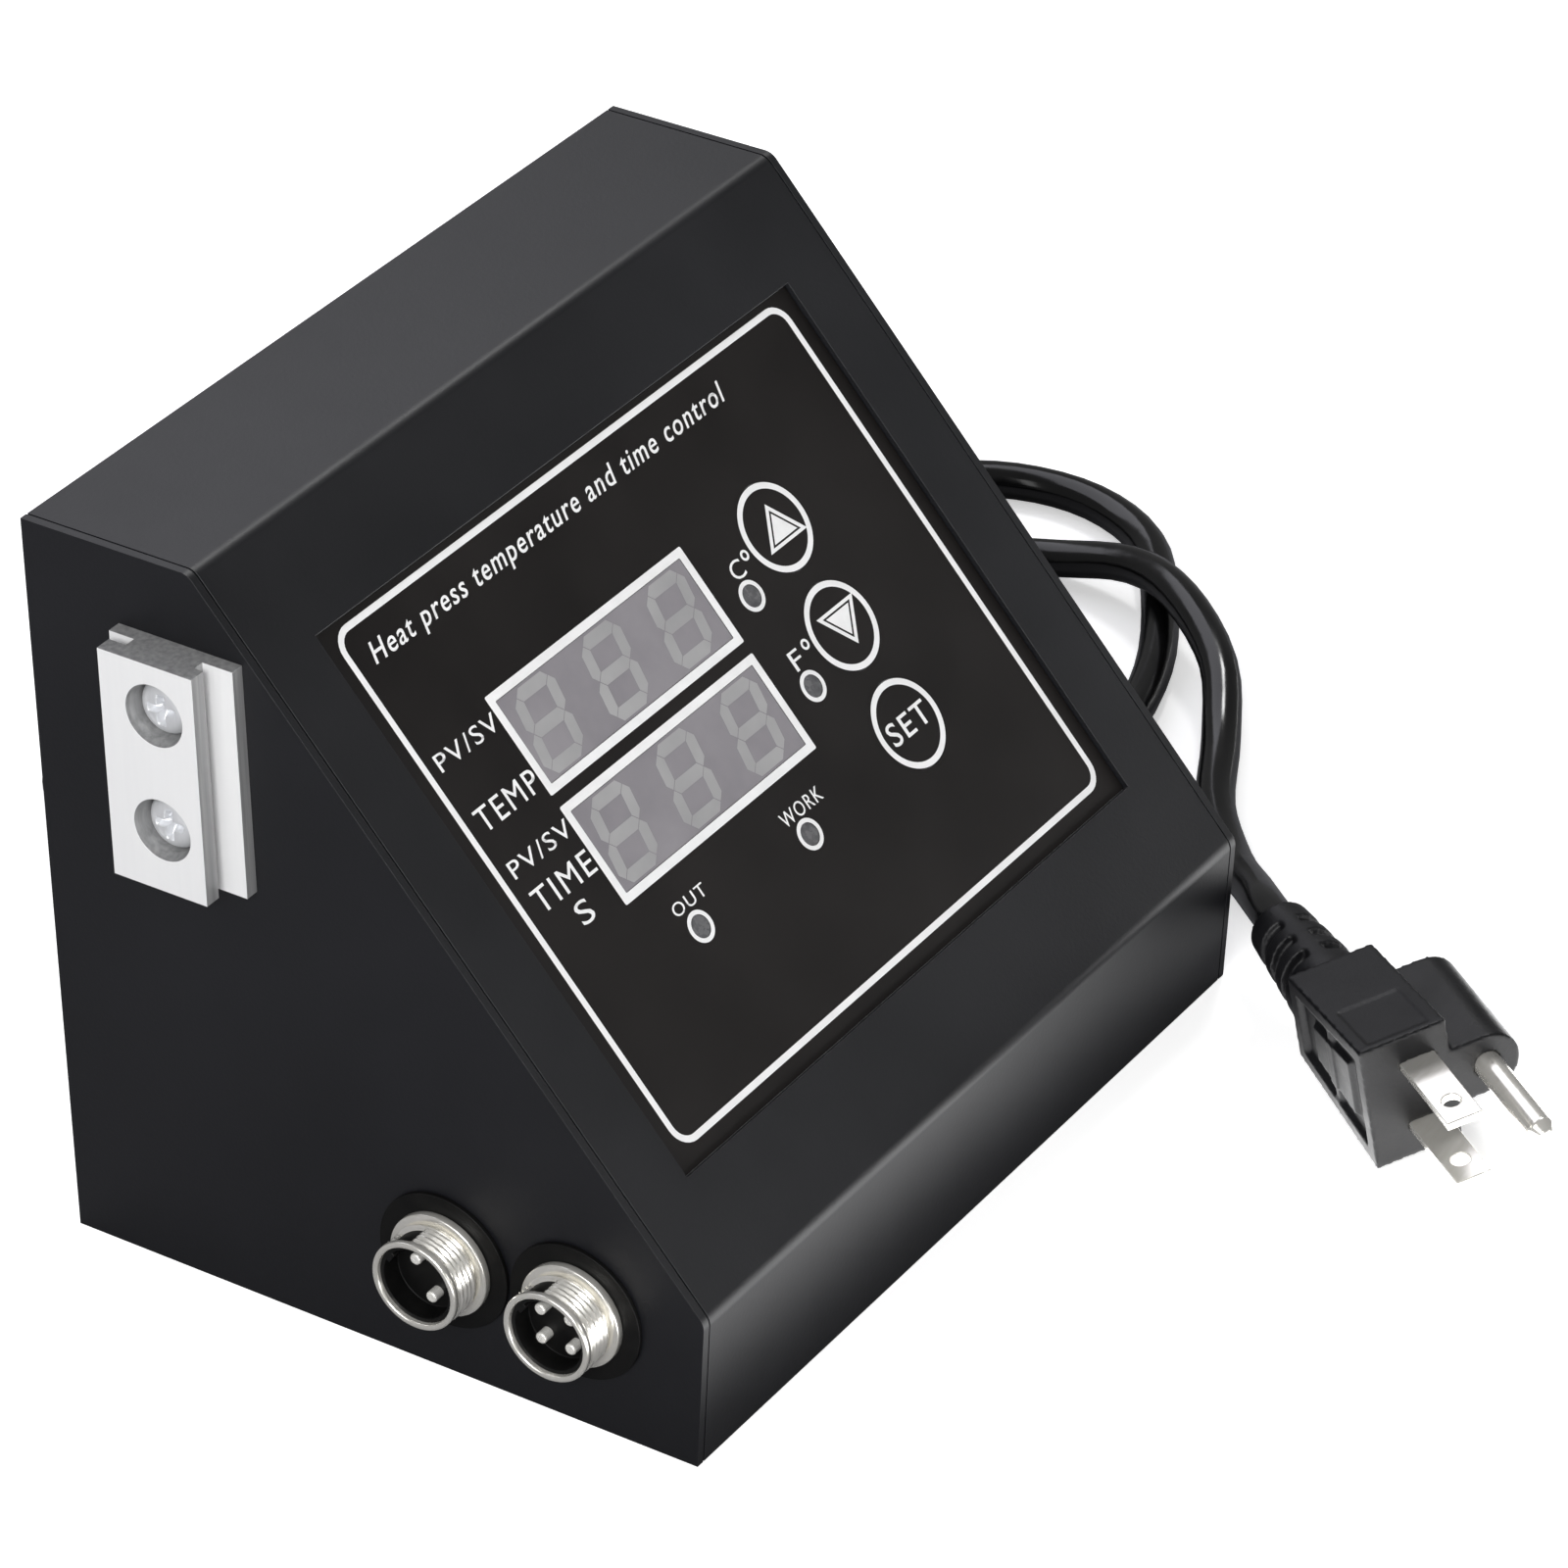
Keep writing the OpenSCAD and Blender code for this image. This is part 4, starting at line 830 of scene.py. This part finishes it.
def lettering(text, centre, size, slant=0.0, weight=0.0):
    """Plain letters scaled to a width and height about a centre, slanted, as thick as the ink."""
    curve = bpy.data.curves.new("letters", "FONT")
    curve.body = text
    curve.extrude = 0.02
    curve.offset = weight
    curve.shear = slant
    curve.resolution_u = 4
    curve.space_character = 1.15
    draft = bpy.data.objects.new("letters", curve)
    bpy.context.collection.objects.link(draft)
    mesh = bpy.data.meshes.new_from_object(draft.evaluated_get(bpy.context.evaluated_depsgraph_get()))
    points = points_of(mesh)
    faces = [list(polygon.vertices) for polygon in mesh.polygons]
    bpy.data.objects.remove(draft)
    bpy.data.meshes.remove(mesh)
    low, high = points.min(0), points.max(0)
    scaled = (points - (low + high) / 2) / (high - low) * np.array([*size, INK / MM])
    return on_panel(scaled + np.array([*centre, INK / MM / 2])), faces


WINDOWS = {"temp": panel_place("temp_window"), "time": panel_place("time_window")}
KEYS = {"up": panel_place("up_key"), "down": panel_place("down_key"), "set": panel_place("set_key")}
window_low, window_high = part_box("temp_window")
LENS_W = (window_high.x - window_low.x) / MM
LENS_L = 15.3
BORDER = 1.6
KEY_R = (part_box("up_key")[1].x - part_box("up_key")[0].x) / 2 / MM
KEY_EDGE, KEY_LINE = 0.05, 1.1
LAMPS = [(18.4, 13.5), (18.4, -4.1), (-1, -22.2), (-32.2, -22.2)]
LAMP_R, LAMP_RING = 1.9, 0.85
DEGREE_MARKS, DEGREE_R, DEGREE_HOLE = [(22.2, 19.4), (22.2, 2.0)], 0.95, 0.5
LENS_SUNK, PROUD = 0.05, 0.01


def make_panel_print():
    """The white print on the overlay: the frame line, the windows' borders, the lamps' rings and
    the plain words beside them."""
    frame_mid, frame_half, frame_r, line = (0, 0.95), (62.3, 48.2), 4.0, 1.15
    frame_in = [side - line for side in frame_half]
    parts = [printed_band(rounded_outline(frame_mid, frame_half, frame_r),
                          rounded_outline(frame_mid, frame_in, frame_r - line))]
    for centre in WINDOWS.values():
        half = (LENS_W / 2 + BORDER, LENS_L / 2 + BORDER)
        half_in = [side - BORDER + 0.1 for side in half]
        parts.append(printed_band(rounded_outline(centre, half, 0.3, 3),
                                  rounded_outline(centre, half_in, 0.2, 3)))
    for centre in LAMPS:
        parts.append(printed_band(circle_outline(centre, LAMP_R + LAMP_RING, 40),
                                  circle_outline(centre, LAMP_R + 0.1, 40)))
    words = [("PV/SV", (-51.2, 23.3), (15.6, 3.0)), ("TEMP", (-51.1, 12.3), (15.4, 3.9)),
             ("PV/SV", (-51.2, 3.3), (15.6, 2.9)), ("TIME", (-51.0, -3.0), (15.0, 4.0)),
             ("S", (-50.9, -8.7), (3.4, 3.8)), ("OUT", (-31.2, -17.8), (8.6, 2.2)),
             ("WORK", (0.7, -17.9), (11.0, 2.5)), ("C", (18.9, 18.3), (3.2, 3.2)),
             ("F", (18.6, 0.9), (2.6, 3.4))]
    parts += [lettering(text, place, size) for text, place, size in words]
    for centre in DEGREE_MARKS:
        parts.append(printed_band(circle_outline(centre, DEGREE_R, 24),
                                  circle_outline(centre, DEGREE_HOLE, 24)))
    parts.append(lettering("Heat press temperature and time control", (-9.0, 42.4), (97.0, 4.6),
                           slant=0.3, weight=0.008))
    show("panel_print", mesh_from("panel_print", parts, merge=FINE_WELD), "box", material=PRINT_WHITE)


def triangle_outline(centre, half_w, half_l, pointing, shrink=0.0):
    """A triangle that points up or down the slope, drawn in towards its middle by shrink."""
    corners = np.array([(-half_w, -half_l), (half_w, -half_l), (0, half_l)]) * (1 - shrink)
    corners[:, 1] -= shrink * half_l / 3
    return np.array(centre) + corners * np.array([1, pointing])


def make_key_print(name, body, centre):
    """A key's white ring and its symbol, which go down with the key."""
    parts = [printed_band(circle_outline(centre, KEY_R - KEY_EDGE),
                          circle_outline(centre, KEY_R - KEY_EDGE - KEY_LINE))]
    if name == "set":
        parts.append(lettering("SET", centre, (11.0, 4.0), weight=0.006))
    else:
        pointing = 1 if name == "up" else -1
        middle = (centre[0] + 0.9, centre[1] + 0.4 * pointing)
        outline = [triangle_outline(middle, 5.2, 3.6, pointing, shrink) for shrink in (0, 0.24, 0.38)]
        parts.append(printed_band(outline[0], outline[1]))
        parts.append(printed_patch(outline[2]))
    show(body + "_print", mesh_from(body + "_print", parts, merge=FINE_WELD), body, material=PRINT_WHITE)


def make_digits(name, centre):
    """Three leaning figures of seven bars each, unlit, just proud of the milky lens. A bar is a
    strip with pointed ends, from a to b."""
    pitch, half_w, half_h, bar, lean = 18.1, 4.2, 6.1, 1.12, 0.2
    sink = (PROUD - LENS_SUNK) * MM
    parts = []
    for place in (-1, 0, 1):
        for a, b in [((-1, 1), (1, 1)), ((-1, 0), (1, 0)), ((-1, -1), (1, -1)), ((-1, 0), (-1, 1)),
                     ((1, 0), (1, 1)), ((-1, -1), (-1, 0)), ((1, -1), (1, 0))]:
            start, end = np.array(a) * (half_w, half_h), np.array(b) * (half_w, half_h)
            along = (end - start) / np.linalg.norm(end - start)
            side = np.array([-along[1], along[0]]) * bar
            start, end = start + along * 0.1, end - along * 0.1
            outline = np.array([start, start + along * bar - side, end - along * bar - side, end,
                                end - along * bar + side, start + along * bar + side])
            outline[:, 0] += lean * outline[:, 1]
            outline += np.array(centre) + (place * pitch - 0.3, 0)
            parts.append(printed_patch(outline, sink))
    show(name, mesh_from(name, parts, merge=FINE_WELD), "box", slot="display_grey")


make_panel_print()
for key, centre in KEYS.items():
    make_key_print(key, key + "_key", centre)
for display, centre in WINDOWS.items():
    make_digits(display + "_digits", centre)

# ---- sockets ----

LEFT = (-1, 0, 0)
THREAD_FIRST, THREAD_ROWS = 14, 60
NOTCH_MID = math.radians(120)
NOTCH_EDGE = (math.radians(20), math.radians(24))
NOTCH_DEPTH = 0.98
PATCH_STEPS = 12


def make_socket(kind):
    """A socket's shell, turned about its axis: a bright rim, an outside thread of 1 mm pitch as a ridge
    that climbs one pitch a turn, an undercut, a flange and the rear thread in the case. A notch along
    the thread has its floor lined with a black curved patch just proud of it."""
    low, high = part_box(kind + "_socket_shell")
    centre_y, centre_z = (low.y + high.y) / 2, (low.z + high.z) / 2
    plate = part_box("chassis")[0].x
    front = (plate - low.x) / MM
    shell_r, flange_r, bore_r, rear_bore_r = 8.0, 9.2, 6.9, 5.9
    washer, flange, pitch, depth = 0.8, 1.5, 1.0, 0.42
    thread_from, thread_to = washer + flange + 0.9, front - 0.9
    rear = (plate - high.x) / MM
    profile = ([(rear, rear_bore_r), (rear, 6.9), (rear + 0.2, 7.0), (washer - 0.2, 7.0),
                (washer, 7.0), (washer, flange_r - 0.25), (washer + 0.1, flange_r - 0.07),
                (washer + 0.25, flange_r), (washer + flange - 0.25, flange_r),
                (washer + flange - 0.1, flange_r - 0.07), (washer + flange, flange_r - 0.25),
                (washer + flange, 7.3), (thread_from - 0.25, 7.3), (thread_from - 0.05, shell_r - 0.3)]
               + [(along, shell_r - 0.02) for along in np.linspace(thread_from, thread_to, THREAD_ROWS)]
               + [(front - 0.6, shell_r - 0.02), (front - 0.25, shell_r - 0.06),
                  (front - 0.06, shell_r - 0.2), (front, shell_r - 0.42), (front, bore_r + 0.3),
                  (front - 0.1, bore_r + 0.12), (front - 0.35, bore_r), (washer + flange, bore_r),
                  (washer + flange, rear_bore_r), (rear, rear_bore_r)])

    on_thread = np.zeros((len(profile), 1), bool)
    on_thread[THREAD_FIRST:THREAD_FIRST + THREAD_ROWS] = True

    def swell(along, angle):
        """The thread's cut is a triangle wave of the pitch, faded at both ends. Over the notch,
        a window of the angle, the rows sink to the flat instead."""
        along = along / MM
        wave = np.abs(((along / pitch - angle / TURN) % 1.0) * 2 - 1)
        fade = (eased(along, thread_from, thread_from + 0.3)
                * (1 - eased(along, thread_to - 0.4, thread_to)))
        away = np.abs((angle - NOTCH_MID + math.pi) % TURN - math.pi)
        notch = 1 - eased(away, *NOTCH_EDGE)
        cut = depth * wave * fade * (1 - notch) + NOTCH_DEPTH * notch * fade
        return -cut * MM * on_thread

    part = turned(np.array(profile) * MM, (plate, centre_y, centre_z), LEFT, sectors=96, swell=swell)
    mesh = mesh_from(kind + "_thread_shell", [part], smooth_angle=50.0)
    show(kind + "_thread_shell", mesh, "box", slot="nickel", replaces=[kind + "_socket_shell"])
    # A black curved patch just proud of the notch's floor makes the notch read dark.
    corners = [(thread_from + 0.35, 7.14), (thread_to - 0.5, 7.14), (thread_to - 0.5, 7.01),
               (thread_from + 0.35, 7.01)]
    angle = NOTCH_MID + np.radians(np.linspace(-18, 18, PATCH_STEPS))
    rows = [np.stack([np.full(PATCH_STEPS, plate / MM - along),
                      centre_y / MM - radius * np.cos(angle),
                      centre_z / MM + radius * np.sin(angle)], 1) for along, radius in corners]
    ends = [[column + PATCH_STEPS * row for row in range(4)] for column in (0, PATCH_STEPS - 1)]
    faces = grid_faces(4, PATCH_STEPS, wrap_rows=True).tolist() + ends
    show(kind + "_thread_gap", mesh_from(kind + "_thread_gap", [(np.stack(rows) * MM, faces)]), "box",
         slot="insulator_black")


for kind in ("heater", "sensor"):
    make_socket(kind)
    softened(kind + "_socket_insert", kind + "_insulator", 0.15 * MM)
    softened(kind + "_socket_pins", kind + "_contacts", 0.35 * MM)
# The sockets' black washers; their black rims beyond the flanges also stand in for the shadow the
# sockets cast on the side.
softened("socket_washers", "washers_and_shadow_rings", 0.12 * MM)

# ---- rail and screws ----

softened("hanging_rail", "rail_extrusion", 0.22 * MM)


# head radius, head height, shank radius, shank length and pitch, in millimetres
M5_SCREW = (4.7, 3.2, 2.5, 8.1, 0.7)
M3_SCREW = (2.8, 1.9, 1.5, 7.0, 0.5)
ROWS_A_TURN, THREAD_CUT = 6, 0.12


def pan_head(centre, axis, radius, height, sectors=96, rings=30):
    """A cross-recessed head: height(r, t) is a flattened dome less a cross of two tapered slots,
    whose mask falls off with the distance from either slot's line and from the middle. Its last
    ring drops to the seat, and a flat face closes it."""
    axis = Vector(axis).normalized()
    side = Vector((0, 0, 1)).cross(axis).normalized()
    up = axis.cross(side)
    share = np.linspace(0, 1, rings)[:, None]
    angle = (np.arange(sectors) * TURN / sectors)[None, :]
    x, y = share * np.cos(angle), share * np.sin(angle)
    dome = np.sqrt(np.clip(1 - (0.94 * share) ** 4, 0, 1))
    slot = np.minimum(np.abs(x), np.abs(y))
    reach = np.hypot(x, y)
    cross = (1 - eased(slot, 0.09, 0.17)) * (1 - eased(reach, 0.46, 0.60))
    pit = 1 - eased(reach, 0.12, 0.26)
    level = dome - 0.62 * np.maximum(cross, pit) * (1 - 0.35 * eased(reach, 0.2, 0.5))
    x, y = np.vstack([x, x[-1:]]), np.vstack([y, y[-1:]])
    level = np.vstack([level, np.zeros((1, sectors))])
    points = (np.array(centre) + (x * radius)[..., None] * np.array(side)
              + (y * radius)[..., None] * np.array(up) + (level * height)[..., None] * np.array(axis))
    faces = grid_faces(rings + 1, sectors, wrap_columns=True).tolist()
    foot_ring = list(range(rings * sectors, (rings + 1) * sectors))
    return points.reshape(-1, 3), faces + [foot_ring]


def shank(centre, axis, radius, length, pitch):
    """A screw's thread behind its head: a ridge that climbs one pitch a turn, with a blunt end.
    The cut is a triangle wave of the pitch, left out at the head and at the tip."""
    rows = max(12, int(length / pitch * ROWS_A_TURN))
    along = np.linspace(0, -length, rows)
    profile = [(0, 0), *[(step, radius) for step in along], (-length, 0)]

    on_thread = np.array([0, *[1] * rows, 0])[:, None]

    def swell(step, angle):
        wave = np.abs(((step / pitch + angle / TURN) % 1.0) * 2 - 1)
        away = (np.abs(step) > pitch) * (np.abs(step + length) > pitch / 2)
        return -THREAD_CUT * radius * wave * away * on_thread

    return turned(profile, centre, axis, sectors=24, swell=swell)


def make_screws(name, node, places, axis, size):
    """A set of screws that stand for one CAD node."""
    head_r, head_h, shank_r, length, pitch = size
    parts = []
    for place in places:
        parts.append(pan_head(place, axis, head_r * MM, head_h * MM))
        parts.append(shank(place, axis, shank_r * MM, length * MM, pitch * MM))
    show(name, mesh_from(name, parts, merge=FINE_WELD), "box", slot="zinc_steel", replaces=[node])


def islands(node):
    """The lowest and highest corners of a CAD node's separate solids, from its joined vertices."""
    mesh = frame["nodes"][node].data
    work = bmesh.new()
    work.from_mesh(mesh)
    bmesh.ops.remove_doubles(work, verts=work.verts, dist=WELD)
    found, seen = [], set()
    for vert in work.verts:
        if vert in seen:
            continue
        group, stack = [], [vert]
        seen.add(vert)
        while stack:
            here = stack.pop()
            group.append(here.co.copy())
            for edge in here.link_edges:
                other = edge.other_vert(here)
                if other not in seen:
                    seen.add(other)
                    stack.append(other)
        found.append((Vector(np.min(group, 0)), Vector(np.max(group, 0))))
    work.free()
    return found


rail_places = [Vector((low.x + M5_SCREW[1] * MM, (low.y + high.y) / 2, (low.z + high.z) / 2))
               for low, high in islands("rail_screws")]
make_screws("rail_bolts", "rail_screws", rail_places, LEFT, M5_SCREW)
back_places = [Vector(((low.x + high.x) / 2, high.y - M3_SCREW[1] * MM, (low.z + high.z) / 2))
               for low, high in islands("back_screws")]
make_screws("back_bolts", "back_screws", back_places, (0, 1, 0), M3_SCREW)

# ---- back fittings ----

softened("power_switch_frame", "switch_bezel", 0.3 * MM)
softened("power_rocker", "switch_rocker", 0.35 * MM)
softened("fuse_holder", "fuse_socket", 0.25 * MM)
softened("fuse_cap", "fuse_knob", 0.3 * MM)

# ---- CAD pieces whose shape is right keep it and take a finish ----

for node, piece in frame["nodes"].items():
    if piece.hide_render:
        continue
    piece.data.materials.clear()
    piece.data.materials.append(PAINT[SLOT_OF[node]])

bpy.context.view_layer.update()
